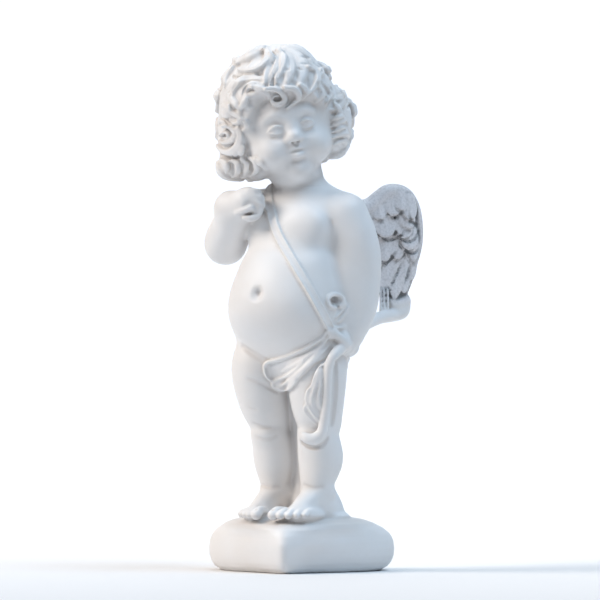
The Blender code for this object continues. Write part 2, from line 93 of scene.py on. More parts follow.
# ---------------------------------------------------------------- the field that the statue is carved in
class Field:
    """Signed distance to the statue's skin on a regular grid, in drawing units, shaped a piece at a time."""

    def __init__(self, lo, hi, cell):
        self.lo, self.cell = np.array(lo, float), cell
        self.n = np.ceil((np.array(hi) - self.lo) / cell).astype(int) + 1
        self.d = np.full(self.n, 30.0, np.float32)

    def window(self, lo, hi):
        a = np.clip(np.floor((np.array(lo) - self.lo) / self.cell).astype(int), 0, self.n)
        b = np.clip(np.ceil((np.array(hi) - self.lo) / self.cell).astype(int) + 1, 0, self.n)
        return tuple(slice(int(i), int(j)) for i, j in zip(a, b))

    def points(self, win):
        return [np.float32(self.lo[i]) + np.arange(win[i].start, win[i].stop, dtype=np.float32) * np.float32(self.cell) for i in range(3)]

    def shape(self, lo, hi, near, action):
        """Runs action(points, distances) on the cells of a box whose distance lies in near, and keeps what it gives."""
        win = self.window(lo, hi)
        block = self.d[win]
        if block.size == 0:
            return
        if near is None:
            pick = np.ones(block.shape, bool)
        else:
            pick = (block > near[0]) & (block < near[1])
        i, j, k = np.nonzero(pick)
        if len(i) == 0:
            return
        x, y, z = self.points(win)
        p = np.stack([x[i], y[j], z[k]], 1)
        block[i, j, k] = action(p, block[i, j, k])

    def sample(self, p):
        """The distance at any points, read between the cells."""
        q = (np.asarray(p, float) - self.lo) / self.cell
        q = np.clip(q, 0, self.n - 1.001)
        b = q.astype(int)
        f = q - b
        out = 0.0
        for dx in (0, 1):
            for dy in (0, 1):
                for dz in (0, 1):
                    w = (f[:, 0] if dx else 1 - f[:, 0]) * (f[:, 1] if dy else 1 - f[:, 1]) * (f[:, 2] if dz else 1 - f[:, 2])
                    out = out + w * self.d[b[:, 0] + dx, b[:, 1] + dy, b[:, 2] + dz]
        return out

    def normal(self, p, e=1.6):
        p = np.asarray(p, float)
        g = np.stack([self.sample(p + e * v) - self.sample(p - e * v) for v in np.eye(3)], 1)
        return g / (np.linalg.norm(g, axis=1, keepdims=True) + 1e-9)

    def march(self, p, way, reach):
        """Steps points along way until they meet the skin. Gives the points and which of them met it."""
        p = np.array(p, float)
        way = np.asarray(way, float) * np.ones((len(p), 1))
        gone = np.zeros(len(p))
        going = np.arange(len(p))
        met = np.zeros(len(p), bool)
        for _ in range(160):
            d = self.sample(p[going])
            hit = d < 0.05
            met[going[hit]] = True
            going, d = going[~hit], d[~hit]
            if len(going) == 0:
                break
            s = np.clip(d * 0.75, 0.15, 12.0)
            p[going] += way[going] * s[:, None]
            gone[going] += s
            going = going[gone[going] < reach]
            if len(going) == 0:
                break
        return p, met

    def fronts(self, places, towards=1.0):
        """The skin under places (across, down) on the drawing plane, for those that have some."""
        p = np.array([drawn(a, u, 125.0 * towards) for a, u in places])
        p, met = self.march(p, -TOWARD * towards, 250.0)
        return p[met]

    def front(self, across, down, towards=1.0):
        p = self.fronts([(across, down)], towards)
        return p[0] if len(p) else None

    def inwards(self, starts, ways, reach=150.0):
        """The skin met by points coming in against ways from reach away."""
        starts, ways = np.asarray(starts, float), np.asarray(ways, float)
        ways = ways / np.linalg.norm(ways, axis=1, keepdims=True)
        p, met = self.march(starts + ways * reach, -ways, reach)
        return p[met]


def ellipsoid(centre, radii, axes=None):
    centre, radii = np.asarray(centre, float), np.asarray(radii, float) * np.ones(3)

    def distance(p):
        q = p - centre
        if axes is not None:
            q = q @ axes.T
        k0 = np.linalg.norm(q / radii, axis=1)
        k1 = np.linalg.norm(q / (radii * radii), axis=1) + 1e-6
        return k0 * (k0 - 1.0) / k1

    r = radii.max()
    return distance, centre - r, centre + r


def chain(points, radii, count=None):
    """A round tube whose radius changes along a smooth path, as its rows (x, y, z, radius)."""
    rows = np.column_stack([np.asarray(points, float), radii])
    return smooth_path(rows, count or max(8, 5 * len(rows)))


def near_chain(field, path, reach):
    """The cells round a tube and their distance to it, worked out a length at a time."""
    r = path[:, 3].max() + reach
    win = field.window(path[:, :3].min(0) - r, path[:, :3].max(0) + r)
    x, y, z = field.points(win)
    best = np.full((len(x), len(y), len(z)), 60.0, np.float32)
    corner = np.array([w.start for w in win])
    for a, b in zip(path[:-1], path[1:]):
        r = max(a[3], b[3]) + reach
        sub = field.window(np.minimum(a[:3], b[:3]) - r, np.maximum(a[:3], b[:3]) + r)
        part = tuple(slice(max(w.start - c, 0), max(w.stop - c, 0)) for w, c in zip(sub, corner))
        q = [v[part[i]] - np.float32(a[i]) for i, v in enumerate((x, y, z))]
        q = [q[0][:, None, None], q[1][None, :, None], q[2][None, None, :]]
        ab = (b - a).astype(np.float32)
        t = np.clip((q[0] * ab[0] + q[1] * ab[1] + q[2] * ab[2]) / np.float32(ab[:3] @ ab[:3] + 1e-9), 0, 1)
        d = np.sqrt((q[0] - t * ab[0]) ** 2 + (q[1] - t * ab[1]) ** 2 + (q[2] - t * ab[2]) ** 2) - (np.float32(a[3]) + t * ab[3])
        block = best[part]
        np.minimum(block, d, out=block)
    return win, best


def add(field, item, k=0.0, pad=4.0):
    """Joins a shape to the statue, with its corner filled over a width of k."""
    if isinstance(item, np.ndarray):
        win, near = near_chain(field, item, k + pad)
        field.d[win] = smooth_min(field.d[win], near, k)
        return
    distance, lo, hi = item
    reach = k + pad
    field.shape(lo - reach, hi + reach, None, lambda p, d: smooth_min(d, distance(p), k))


def cut(field, item, k=0.0):
    """Takes a shape out of the statue, with its edge rounded over a width of k."""
    if isinstance(item, np.ndarray):
        win, near = near_chain(field, item, k + 1.0)
        field.d[win] = smooth_max(field.d[win], -near, k)
        return
    distance, lo, hi = item
    field.shape(lo - k - 2, hi + k + 2, None, lambda p, d: smooth_max(d, -distance(p), k))


# ---------------------------------------------------------------- ribbons laid on the skin: locks, folds, strap
def ribbon(field, points, normals, half, thick, ridges=0, groove=0.0, k=0.8, sink=0.0, twist=0.0, cut_edge=None, near=(-7.0, 11.0)):
    """A flattened lock along points, its width lying along the skin. ridges parallel strands run along it, groove deep."""
    n = len(points)
    pts = np.asarray(points, float)
    nor = np.asarray(normals, float)
    tan = np.gradient(pts, axis=0)
    tan /= np.linalg.norm(tan, axis=1, keepdims=True) + 1e-9
    nor = nor - (nor * tan).sum(1, keepdims=True) * tan
    nor /= np.linalg.norm(nor, axis=1, keepdims=True) + 1e-9
    bi = np.cross(tan, nor)
    if twist:
        w = np.linspace(0, twist, n)[:, None]
        nor, bi = nor * np.cos(w) + bi * np.sin(w), bi * np.cos(w) - nor * np.sin(w)
    half = np.asarray(half, float) * np.ones(n)
    thick = np.asarray(thick, float) * np.ones(n)
    pts = pts - np.asarray(normals, float) * sink

    def distance(p):
        best = np.full(len(p), 1e9)
        which = np.zeros(len(p), int)
        frac = np.zeros(len(p))
        for i in range(n - 1):
            ab = pts[i + 1] - pts[i]
            t = np.clip((p - pts[i]) @ ab / (ab @ ab + 1e-9), 0, 1)
            d = ((p - pts[i] - t[:, None] * ab) ** 2).sum(1)
            m = d < best
            best[m], which[m], frac[m] = d[m], i, t[m]
        f = frac[:, None]
        q = p - (pts[which] * (1 - f) + pts[which + 1] * f)
        nn = nor[which] * (1 - f) + nor[which + 1] * f
        bb = bi[which] * (1 - f) + bi[which + 1] * f
        tt = np.cross(nn, bb)
        h = half[which] * (1 - frac) + half[which + 1] * frac
        t = thick[which] * (1 - frac) + thick[which + 1] * frac
        side = (q * bb).sum(1)
        out = (q * nn).sum(1)
        along = (q * tt).sum(1)
        e = np.sqrt((side / h) ** 2 + (out / t) ** 2 + (along / t) ** 2)
        d = (e - 1.0) * np.minimum(h, t) * 0.9
        if ridges:
            wave = np.cos(math.pi * ridges * side / h + (math.pi if ridges % 2 == 0 else 0.0))
            d = d + groove * (0.5 - 0.5 * wave) * np.clip(1.2 - np.abs(side / h), 0, 1) * (out > -t)
        return d

    r = max(half.max(), thick.max()) + 2.0
    field.shape(pts.min(0) - r, pts.max(0) + r, near, lambda p, d: smooth_min(d, distance(p), k))


def tapered(count, full, start=0.5, end=0.25, swell=0.35):
    """Widths along a lock: narrower at its root, full at swell of its length, and pointed at its end."""
    t = np.linspace(0, 1, count)
    rise = start + (1 - start) * step(t, 0, swell)
    fall = 1 - (1 - end) * step(t, swell + 0.1, 1.0)
    return full * rise * fall


# ---------------------------------------------------------------- base
def heart_radius():
    a = 2 * np.pi * np.arange(2881) / 2880
    x = 95.0 * np.sin(a) ** 3
    y = 86.0 * (13 * np.cos(a) - 5 * np.cos(2 * a) - 2 * np.cos(3 * a) - np.cos(4 * a) + 2.6) / 14.5
    way = np.concatenate([[0.0], np.cumsum(np.hypot(np.diff(x), np.diff(y)))])
    even = way[-1] * (np.arange(720) + 0.5) / 720
    x, y = np.interp(even, way, x), np.interp(even, way, y)
    for _ in range(760):
        x = 0.5 * x + 0.25 * (np.roll(x, 1) + np.roll(x, -1))
        y = 0.5 * y + 0.25 * (np.roll(y, 1) + np.roll(y, -1))
    x = x / np.abs(x).max() * 94.0
    y = y / np.abs(y).max() * 82.0
    angle = np.arctan2(y, x)
    order = np.argsort(angle)
    return angle[order], np.hypot(x, y)[order]


def base(field):
    angle, radius = heart_radius()
    ups = np.array([-6.0, 0.0, 1.0, 4.0, 9.0, 15.0, 22.0, 30.0, 37.0, 43.0, 48.0, 51.5, 54.0, 55.5, 56.0, 60.0])
    insets = np.array([20.0, 13.5, 12.0, 6.5, 2.8, 0.6, 0.0, 1.2, 4.2, 8.5, 15.0, 24.0, 38.0, 56.0, 74.0, 96.0])
    slope = np.gradient(insets, ups)
    cs, sn = math.cos(HEART_TURN), math.sin(HEART_TURN)

    def action(p, d):
        x, y = p[:, 0] + 4.0, p[:, 1] + 3.0
        u, v = x * cs + y * sn, -x * sn + y * cs
        r = np.hypot(u, v)
        a = np.arctan2(v, u)
        full = np.interp(a, angle, radius, period=2 * np.pi)
        # the pillow grows rounder towards its top
        ahead = np.clip(np.cos(a + math.radians(80.0)), 0.0, 1.0) ** 2
        mix = step(p[:, 2], 34.0, 56.0) * 0.55
        mix = mix + (1 - mix) * ahead * step(p[:, 2], 12.0, 50.0) * 0.45
        full = full * (1 - mix) + 84.0 * mix
        inset = (1.0 - r / full) * 95.0
        need = np.interp(p[:, 2], ups, insets) + ahead * np.interp(p[:, 2], [0, 12, 26, 36, 44, 50, 56, 60], [3.0, 0.8, 0.8, 4.0, 8.0, 11.0, 12.0, 12.0])
        lean = np.interp(p[:, 2], ups, slope)
        side = (need - inset) * np.minimum(full / 95.0, 1.1) / np.sqrt(1 + lean * lean)
        return smooth_min(d, smooth_max(side, -p[:, 2], 0.0), 3.0)

    field.shape((-110, -110, -6), (110, 110, 64), None, action)


# ---------------------------------------------------------------- body
def torso(field):
    #        up    a     b     cy
    rows = [(406, 21.0, 21.0, -2.0), (392, 22.0, 21.0, 1.0), (383, 27.0, 24.0, 2.0), (374, 38.0, 29.0, 2.0), (364, 47.5, 35.0, 1.0), (352, 51.0, 40.0, -1.0),
            (340, 50.5, 42.5, -3.0), (331, 48.5, 43.5, -5.5), (321, 47.0, 45.0, -9.0), (309, 51.0, 50.0, -13.0), (296, 54.5, 54.0, -16.0),
            (284, 58.0, 56.5, -18.2), (271, 60.4, 59.1, -19.0), (259, 61.0, 59.0, -19.0), (249, 60.5, 56.3, -18.0), (240, 59.0, 52.5, -16.0),
            (229, 57.0, 46.5, -13.0), (216, 55.0, 42.0, -9.0), (204, 48.0, 37.0, -7.0), (194, 38.0, 31.0, -7.0)]
    rows = smooth_path(rows[::-1], 140)
    up = rows[:, 0]

    def action(p, d):
        z = p[:, 2]
        a, b, cy = (np.interp(z, up, rows[:, i]) for i in (1, 2, 3))
        x, y = p[:, 0] / a, (p[:, 1] - cy) / b
        # a little squarer than an ellipse, as a ribcage is
        e = (np.abs(x) ** 2.15 + np.abs(y) ** 2.15) ** (1 / 2.15)
        q = (e - 1) * np.minimum(a, b) * 0.93
        q = smooth_max(q, z - 404.0, 6.0)
        q = smooth_max(q, 188.0 - z, 16.0)
        return smooth_min(d, q, 4.0)

    field.shape((-80, -95, 180), (80, 60, 410), None, action)
    for side in (-1, 1):
        add(field, ellipsoid((side * 19, 9, 209), (25, 23, 26)), 9)
        # chest: soft pads, and the shoulder blades behind
        add(field, ellipsoid((side * 23, -27, 345), (20, 11.5, 16)), 12)
        add(field, ellipsoid((side * 25, 25, 352), (18, 12, 22)), 12)
        add(field, chain([(side * 12, 3, 381), (side * 32, 4, 370), (side * 50, 5, 357)], [10, 14, 19]), 14)
    # spine's hollow
    cut(field, chain([(0, 46, 356), (0, 47, 330), (0, 46, 290), (0, 44, 256)], [4, 4, 4.5, 4]), 9)
    # cleft below
    cut(field, chain([(0, 38, 226), (0, 38, 210), (0, 30, 190)], [1.5, 2.0, 2.0]), 6)


def leg(field, side):
    knee_y, thigh_y = (-13.0, -26.0) if side < 0 else (-9.0, -18.0)
    w = 0.0 if side < 0 else 1.5
    path = [(side * 29, thigh_y + 5, 224), (side * 31, thigh_y, 201), (side * 29.5, thigh_y * 0.62 + knee_y * 0.38, 171), (side * 28, knee_y * 0.95, 150),
            (side * 27, knee_y, 138), (side * 26.3, knee_y + 4, 122), (side * 26, knee_y + 6, 110), (side * 25, -7, 91), (side * 25, -7, 80), (side * 25, -5, 66)]
    radii = [27 + w, 28.6 + w, 25.2 + w, 20.8 + w, 19.2 + w, 20.6 + w, 20.4 + w, 15.6 + w, 14.4 + w, 14.5 + w]
    add(field, chain(path, radii, 44), 5)
    # knee: a soft cap between two folds; calf behind
    add(field, ellipsoid((side * 27, knee_y - 9.5, 136), (12.5, 11.5, 10.5)), 8)
    add(field, ellipsoid((side * 26, knee_y + 13, 116), (15, 13, 20)), 8)


def foot(field, side):
    # heel, instep and sole, then five toes from the big one outwards
    turn = 0.0 if side < 0 else 1.0
    add(field, ellipsoid((side * 25, 3, 63), (14, 15, 12.5)), 6)
    add(field, chain([(side * 25, -5, 77), (side * 25 - 1.5 * turn, -22, 69.5), (side * 26 - 4.0 * turn, -36, 62.5), (side * 26.5 - 6.0 * turn, -42, 60.0)],
                     [14.0, 12.3, 9.4, 8.0]), 5)
    add(field, ellipsoid((side * 27 - 4.5 * turn, -27, 58.5), (17.0 + turn, 21, 8.5)), 5)
    for ankle in (-1, 1):
        add(field, ellipsoid((side * 25 + ankle * 12.5, -5, 80), (5.0, 6.0, 6.0)), 6)
    for k in range(5):
        reach = (-60.0, -59.8, -57.0, -52.8, -47.5)[k]
        spread = ((-15.0, -22.8, -29.4, -35.4, -40.6), (4.5, 13.0, 20.6, 27.6, 33.8))[side > 0][k]
        size = (5.4, 4.3, 4.1, 3.9, 3.7)[k]
        inner = spread * 0.86 + side * 3.5 if side < 0 else spread * 0.92 + 4.0
        root = (inner, reach + 19, 61.0)
        bend = (0.25 * inner + 0.75 * spread, reach + 9.0, 61.6 - 0.2 * k)
        tip = (spread, reach + 2.0, 57.8)
        add(field, chain([root, bend, tip], [size * 0.85, size * 0.86, size], 12), 0.7)
        # nail
        cut(field, ellipsoid((spread, reach - 0.6, 57.8 + size * 0.98), (size * 0.52, size * 0.62, 1.3)), 0.6)


def legs(field):
    for side in (-1, 1):
        leg(field, side)


def feet(field):
    for side in (-1, 1):
        foot(field, side)


def support(field):
    """The low stump behind the heels that is cast with the base, and the filling between the legs above it."""
    add(field, chain([(1, 13, 48), (2, 11, 76), (3, 7, 108), (3, -1, 150), (1, -8, 188), (0, -9, 206)], [27, 18, 12.5, 10, 11, 14], 40), 8)
    add(field, chain([(22, 12, 50), (24, 10, 66), (24, 6, 84)], [22, 16, 9], 16), 8)


def left_arm(field):
    add(field, chain([(51, 6, 355), (60.5, 8, 337), (66.5, 11, 314), (67.3, 11, 292), (66.6, 7, 268), (64.5, 1, 251), (62.0, -4, 239)],
                     [20.5, 20.3, 18.6, 17.4, 17.4, 16.2, 14.4], 44), 9)
    add(field, chain([(50, -2, 346), (55, -2.5, 322), (58, -3.5, 296), (59.5, -5, 272), (57, -10, 252)], [10, 12, 12.5, 11.5, 9], 26), 12)
    # hand: back of the hand, then four fingers and a thumb closed on the grip
    add(field, ellipsoid((59.5, -6.5, 232), (12.0, 14, 12.5)), 5)
    for k in range(4):
        y = -20.0 + 5.9 * k
        z = -1.6 * k
        add(field, chain([(60.5, y + 1.5, 240 + z), (66.0, y, 233.5 + z), (65.5, y - 0.5, 226.5 + z), (59.0, y - 0.8, 222.5 + z), (53.5, y - 0.5, 225.5 + z)],
                         [4.4, 4.1, 4.0, 3.7, 3.2], 18), 0.9)
    add(field, chain([(54, -12, 241), (50.5, -20, 236), (52.5, -25.5, 229.5), (57, -26.5, 225)], [5.0, 4.7, 4.3, 3.5], 14), 1.4)


def right_arm(field):
    add(field, chain([(-47, 3, 360), (-59, -1, 357), (-71.5, -8, 347), (-77.5, -13, 334), (-78.5, -15, 328)], [21.5, 24.0, 22.6, 20.6, 19.8], 30), 7)
    add(field, chain([(-78.5, -15.5, 327), (-68, -27.5, 338), (-54, -38.5, 351), (-43, -45.5, 360)], [19.8, 19.2, 17.0, 14.4], 30), 7)
    # the closed hand: its back a round mass that runs on from the wrist, fingers folded under, thumb tip on them
    axes = np.stack([ACROSS, TOWARD, UP])
    add(field, ellipsoid(drawn(231.0, 208.0, 10), (17.0, 15.0, 17.5), axes), 10)
    add(field, ellipsoid(drawn(248.0, 201.5, 27), (14.0, 13.0, 14.5), axes), 12)
    for a, u, d in ((258.5, 192.5, 31.5), (261.5, 198.0, 33.0), (261.8, 204.0, 33.5), (259.5, 210.0, 33.0)):
        add(field, chain([drawn(a - 9, u - 1.5, d + 3.5), drawn(a - 2.5, u, d + 3.5), drawn(a, u + 1.0, d), drawn(a - 1.0, u + 2.5, d - 6)], [3.0, 3.9, 3.9, 3.4], 14), 3.0)
    add(field, chain([drawn(259.5, 210, 34), drawn(257, 216.0, 36), drawn(251, 218.5, 37), drawn(245, 217.5, 36)], [3.6, 3.8, 3.7, 3.2], 18), 1.8)
    hollow = field.fronts([(244.5, 207), (248, 203.6), (253, 203.4), (256.5, 207.5), (256, 212.5)])
    cut(field, chain(hollow + TOWARD * 0.6, [0.7, 1.2, 1.3, 1.2, 0.8], 20), 3.0)
    add(field, chain([drawn(238.5, 213, 33), drawn(245, 210.8, 37), drawn(251.0, 208.4, 38.6)], [3.8, 3.9, 3.2], 16), 2.0)
    under = field.fronts([(237, 216.5), (243, 215), (250, 213.4)])
    cut(field, chain(under + TOWARD * 0.4, [0.4, 0.7, 0.4], 12), 2.6)
    for places in ([(255.5, 191.0), (260, 195.0)], [(257.0, 197.5), (262.5, 200.8)], [(257.5, 204.0), (262.0, 207.0)]):
        cut(field, chain(field.fronts(smooth_path(places, 5)) + TOWARD * 0.3, [0.5, 0.8, 0.9, 0.8, 0.5], 8), 1.8)


def creases(field):
    """Folds of skin and the navel."""
    navel = field.front(257.0, 293.0)
    nn = field.normal(navel[None])[0]
    cut(field, ellipsoid(navel + nn * 1.4, (4.8, 4.8, 5.6)), 6.0)
    cut(field, chain([navel + nn * 0.2 + UP * 4.0, navel - nn * 3.6 + UP * 1.8, navel - nn * 0.6 - UP * 2.6], [1.6, 2.9, 1.4], 12), 1.6)
    for places, size, soft in (
        ([(231, 335), (243, 346), (256, 355), (268, 361)], 1.6, 5.0),
        ([(248, 378), (259, 382), (270, 388), (277, 391)], 0.9, 3.2),
        ([(238, 402), (248, 407), (256, 409)], 0.7, 3.0),
        ([(254, 423), (262, 426.5), (270, 427)], 0.6, 3.2),
        ([(255, 436), (264, 439), (272, 438), (276, 435.5)], 0.5, 4.2),
        ([(300, 440), (311, 446), (322, 447)], 0.7, 3.0),
        ([(262, 485), (271, 488), (279, 487)], 0.3, 4.2),
        ([(304, 484), (313, 487), (322, 486)], 0.3, 4.2),
        ([(332, 222), (337, 240), (341.5, 262), (345, 284), (344.5, 300)], 1.1, 4.5),
    ):
        pts = field.fronts(places)
        cut(field, chain(pts, [size * 0.4] + [size] * (len(pts) - 2) + [size * 0.4], 24), soft)


# ---------------------------------------------------------------- head and face
HEAD_LEAN, HEAD_YAW = math.radians(-12.0), math.radians(11.0)
SIDEWAYS = ACROSS * math.cos(HEAD_YAW) - TOWARD * math.sin(HEAD_YAW)
FACING = TOWARD * math.cos(HEAD_YAW) + ACROSS * math.sin(HEAD_YAW)
FACE_ACROSS = SIDEWAYS * math.cos(HEAD_LEAN) - UP * math.sin(HEAD_LEAN)
FACE_UP = SIDEWAYS * math.sin(HEAD_LEAN) + UP * math.cos(HEAD_LEAN)
FACE_AXES = np.stack([FACE_ACROSS, FACING, FACE_UP])
HEAD_MIDDLE = drawn(284.0, 133.0, 0.0)


def on_face(across, up, out):
    """A place on the head: across, up and forwards from its middle, leaning and turning with it."""
    return HEAD_MIDDLE + FACE_ACROSS * across + FACE_UP * up + FACING * out


def hair_masses(field):
    """The body of the hair, hollowed in front where the face sits."""
    axes = np.stack([ACROSS, TOWARD, UP])
    for centre, radii, k in (((278, 106.5, -4), (59, 59, 58), 4), ((281, 66, -8), (33, 26, 20.0), 8), ((284, 124, -14), (63, 52, 46), 8), ((236, 140, -8), (17.5, 32, 36), 8),
                             ((238, 165, -6), (18, 26, 13), 7), ((252, 169, -6), (14, 24, 10), 7), ((257, 170.5, 8), (12.5, 20, 10.5), 6), ((244.5, 138, 14), (8.5, 18, 30), 7), ((335, 124, -8), (16.5, 32, 33), 8)):
        add(field, ellipsoid(drawn(*centre), radii, axes), k)

    def hollow(p, d):
        a, u, out = plane_places(p)
        e = (np.abs((a - 292.0) / 40.5) ** 3.2 + np.abs((u - 150.0 - 0.10 * (a - 292.0)) / 53.0) ** 3.2) ** (1 / 3.2)
        return smooth_max(d, -smooth_max((e - 1) * 40.0, 25.0 - out, 12.0), 8.0)

    lo, hi = drawn(240, 200, 15), drawn(340, 90, 90)
    field.shape(np.minimum(lo, hi) - 70, np.maximum(lo, hi) + 70, (-60.0, 20.0), lambda p, d: np.where(p[:, 2] > 384, hollow(p, d), d))


def head(field):
    def blob(a, u, d, radii, k):
        add(field, ellipsoid(on_face(a, u, d), radii, FACE_AXES), k)

    # skull, temples, face, cheeks, chin and forehead, on even child's proportions
    blob(0, 18, 0, (43, 45, 43), 4)
    blob(0, -6, 8, (39.5, 41, 41), 8)
    for s in (-1, 1):
        blob(s * 25, 4, 13, (19.5, 25, 35), 8)
        blob(s * 21.0, -16, 29, (18.0, 20.5, 16.5), 9)
    blob(0, -33, 26.5, (19.5, 19.5, 15.5), 8)
    blob(0, -38.5, 38.0, (9.5, 8.5, 7.5), 7)
    blob(0, 24, 25, (31, 21.5, 20), 9)
    blob(0, -44, 12, (24, 22, 10), 8)
    for s in (-1, 1):
        # socket, ball, lids and brow
        cut(field, ellipsoid(on_face(s * 15.8, 6.0, 55.0), (10.5, 7.0, 7.2), FACE_AXES), 8)
        blob(s * 15.4, 5.2, 38.8, (8.2, 8.4, 7.8), 1.6)
        add(field, chain([on_face(s * 7.5, 17.0, 45.0), on_face(s * 15.5, 20.2, 45.0), on_face(s * 24.5, 16.5, 40.0)], [0.8, 1.4, 0.8], 14), 7)
        upper, lower, fold = [], [], []
        for t in np.linspace(-1, 1, 9):
            bow_ = 1 - t * t
            a = 15.4 + 8.6 * t
            ball = 38.8 + 8.4 * math.sqrt(max(1 - (8.6 * t / 9.6) ** 2 - (3.6 * bow_ / 9.2) ** 2, 0.04)) - 1.5 * max(t, 0) * (1 - bow_)
            upper.append(on_face(s * a, 5.0 + 4.1 * bow_, ball + 0.35))
            lower.append(on_face(s * a, 4.8 - 3.8 * bow_, ball + 0.05))
            fold.append(on_face(s * (15.4 + 9.2 * t), 7.4 + 4.6 * bow_, ball + 2.0))
        thin = [0.7, 1.0, 1.25, 1.4, 1.45, 1.4, 1.25, 1.0, 0.7]
        add(field, chain(upper, thin, 24), 0.8)
        add(field, chain(lower, [0.8 * r for r in thin], 24), 1.2)
        cut(field, chain(fold, [0.3, 0.5, 0.6, 0.7, 0.7, 0.7, 0.6, 0.5, 0.3], 20), 1.6)
        # iris rim and pupil, lightly cut
        ring = [on_face(s * 14.8 + 2.9 * math.cos(w), 5.3 + 2.9 * math.sin(w), 47.1) for w in np.linspace(0, 2 * math.pi, 13)]
        cut(field, chain(ring, [0.45] * 13, 26), 0.5)
        cut(field, ellipsoid(on_face(s * 14.6, 5.5, 47.8), (1.3, 1.3, 1.4), FACE_AXES), 0.6)
        # soft crease under the eye
        cut(field, chain([on_face(s * 8.0, -1.0, 48.6), on_face(s * 13.0, -3.6, 48.8), on_face(s * 20.0, -2.2, 46.5)], [0.5, 0.8, 0.4], 10), 5)
    # nose: low bridge, round tip, wings and nostrils
    add(field, chain([on_face(0, 10, 43.5), on_face(0, 2, 45.8), on_face(0, -3.0, 48.6)], [3.0, 3.8, 4.6], 14), 9)
    blob(0, -4.8, 50.2, (5.8, 5.2, 4.8), 4)
    for s in (-1, 1):
        blob(s * 5.6, -6.4, 47.4, (3.8, 4.4, 3.3), 2.6)
        cut(field, ellipsoid(on_face(s * 2.9, -9.6, 49.8), (1.6, 1.9, 1.2), FACE_AXES), 1.2)
    # mouth: a calm closed line between two full lips
    add(field, ellipsoid(on_face(0, -20.0, 40.0), (13.0, 7.5, 8.8), FACE_AXES), 7)
    add(field, chain([on_face(-10.6, -18.9, 43.2), on_face(-5.6, -17.0, 46.6), on_face(-2.0, -15.6, 48.4), on_face(0, -16.3, 48.5), on_face(2.0, -15.6, 48.4),
                      on_face(5.6, -17.0, 46.6), on_face(10.6, -18.9, 43.2)], [1.0, 2.0, 2.4, 2.2, 2.4, 2.0, 1.0], 28), 1.6)
    add(field, chain([on_face(-8.4, -20.9, 43.9), on_face(-4.2, -22.6, 47.0), on_face(0, -23.3, 48.1), on_face(4.2, -22.6, 47.0), on_face(8.4, -20.9, 43.9)],
                     [1.3, 2.6, 3.2, 2.6, 1.3], 24), 1.6)
    seam = [(-11.4, -18.4), (-5.4, -19.4), (0.0, -18.9), (5.4, -19.4), (11.4, -18.4)]
    spots = np.array([on_face(a, u, 0) for a, u in seam])
    hit = field.inwards(spots, np.tile(FACING * 60.0, (5, 1)), 60.0)
    if len(hit) == 5:
        cut(field, chain(hit - FACING * 0.1, [0.6, 1.0, 1.1, 1.0, 0.6], 24), 1.1)
    cut(field, chain([on_face(0, -10.6, 51.0), on_face(0, -13.4, 49.8)], [0.8, 1.1], 6), 2.4)
    cut(field, chain([on_face(-5, -28.6, 47.2), on_face(0, -29.6, 47.8), on_face(5, -28.6, 47.2)], [0.6, 1.0, 0.6], 8), 4.5)


# ---------------------------------------------------------------- hair
def strands(field):
    """Fine waving strands over the whole body of the hair, running out from the crown."""
    crown = drawn(276, 47, -8)
    middle = drawn(282, 118, -8)
    pole = (crown - middle) / np.linalg.norm(crown - middle)
    e1 = np.cross(pole, TOWARD)
    e1 /= np.linalg.norm(e1)
    e2 = np.cross(pole, e1)

    def action(p, d):
        q = p - middle
        r = np.linalg.norm(q, axis=1) + 1e-6
        down = np.degrees(np.arccos(np.clip(q @ pole / r, -1, 1)))
        round_ = np.degrees(np.arctan2(q @ e2, q @ e1))
        sway = round_ + 9.0 * np.sin(np.radians(down * 5.0 + 2.0 * round_)) + 4.0 * np.sin(np.radians(down * 11.0 - 3 * round_))
        wave = np.cos(np.radians(sway * 22.0)) + 0.6 * np.cos(np.radians(sway * 38.0 + 40.0 * np.sin(np.radians(down * 6.0))))
        a, u, out = plane_places(p)
        skin_ = (np.abs((a - 289.5) / 43.0) ** 3.2 + np.abs((u - 150.0) / 53.0) ** 3.2) ** (1 / 3.2)
        keep = np.where((out > 10) & (p[:, 2] > 380), step(skin_, 0.98, 1.06), 1.0) * step(p[:, 2], 392, 400)
        return d - 0.55 * wave * keep

    lo, hi = middle - 74, middle + 74
    field.shape(lo, hi, (-4.0, 5.0), action)


def lock(field, places, half, thick, ridges=2, groove=1.0, lift=1.0, count=None, k=1.6, ends=(0.55, 0.3), swell=0.35):
    """A lock through places on the drawing plane (across, down), lying on what is already there."""
    count = count or max(10, 4 * len(places))
    path = smooth_path(places, count)
    pts = field.fronts(path)
    if len(pts) < 4:
        return
    depth = pts @ TOWARD
    first = last = int(np.argsort(depth)[len(depth) // 2])
    while first > 0 and abs(depth[first - 1] - depth[first]) < 5.0:
        first -= 1
    while last < len(depth) - 1 and abs(depth[last + 1] - depth[last]) < 5.0:
        last += 1
    pts = pts[first:last + 1]
    if len(pts) < 4:
        return
    # the lock doesn't dip into every hollow it crosses
    depth = pts @ TOWARD
    soft = depth.copy()
    for _ in range(6):
        soft[1:-1] = np.maximum(soft[1:-1], 0.5 * (soft[:-2] + soft[2:]))
    for _ in range(3):
        soft[1:-1] = 0.5 * soft[1:-1] + 0.25 * (soft[:-2] + soft[2:])
    pts = pts + TOWARD * (soft - depth)[:, None]
    nor = field.normal(pts, 3.5)
    for _ in range(3):
        nor[1:-1] = 0.5 * nor[1:-1] + 0.25 * (nor[:-2] + nor[2:])
    nor = nor + TOWARD * 0.2
    nor /= np.linalg.norm(nor, axis=1, keepdims=True)
    n = len(pts)
    ribbon(field, pts + nor * lift * 0.6, nor, tapered(n, half * 1.1, ends[0], ends[1], swell), tapered(n, thick * 0.95, 0.7, 0.5, swell), ridges, groove * 0.9, k)


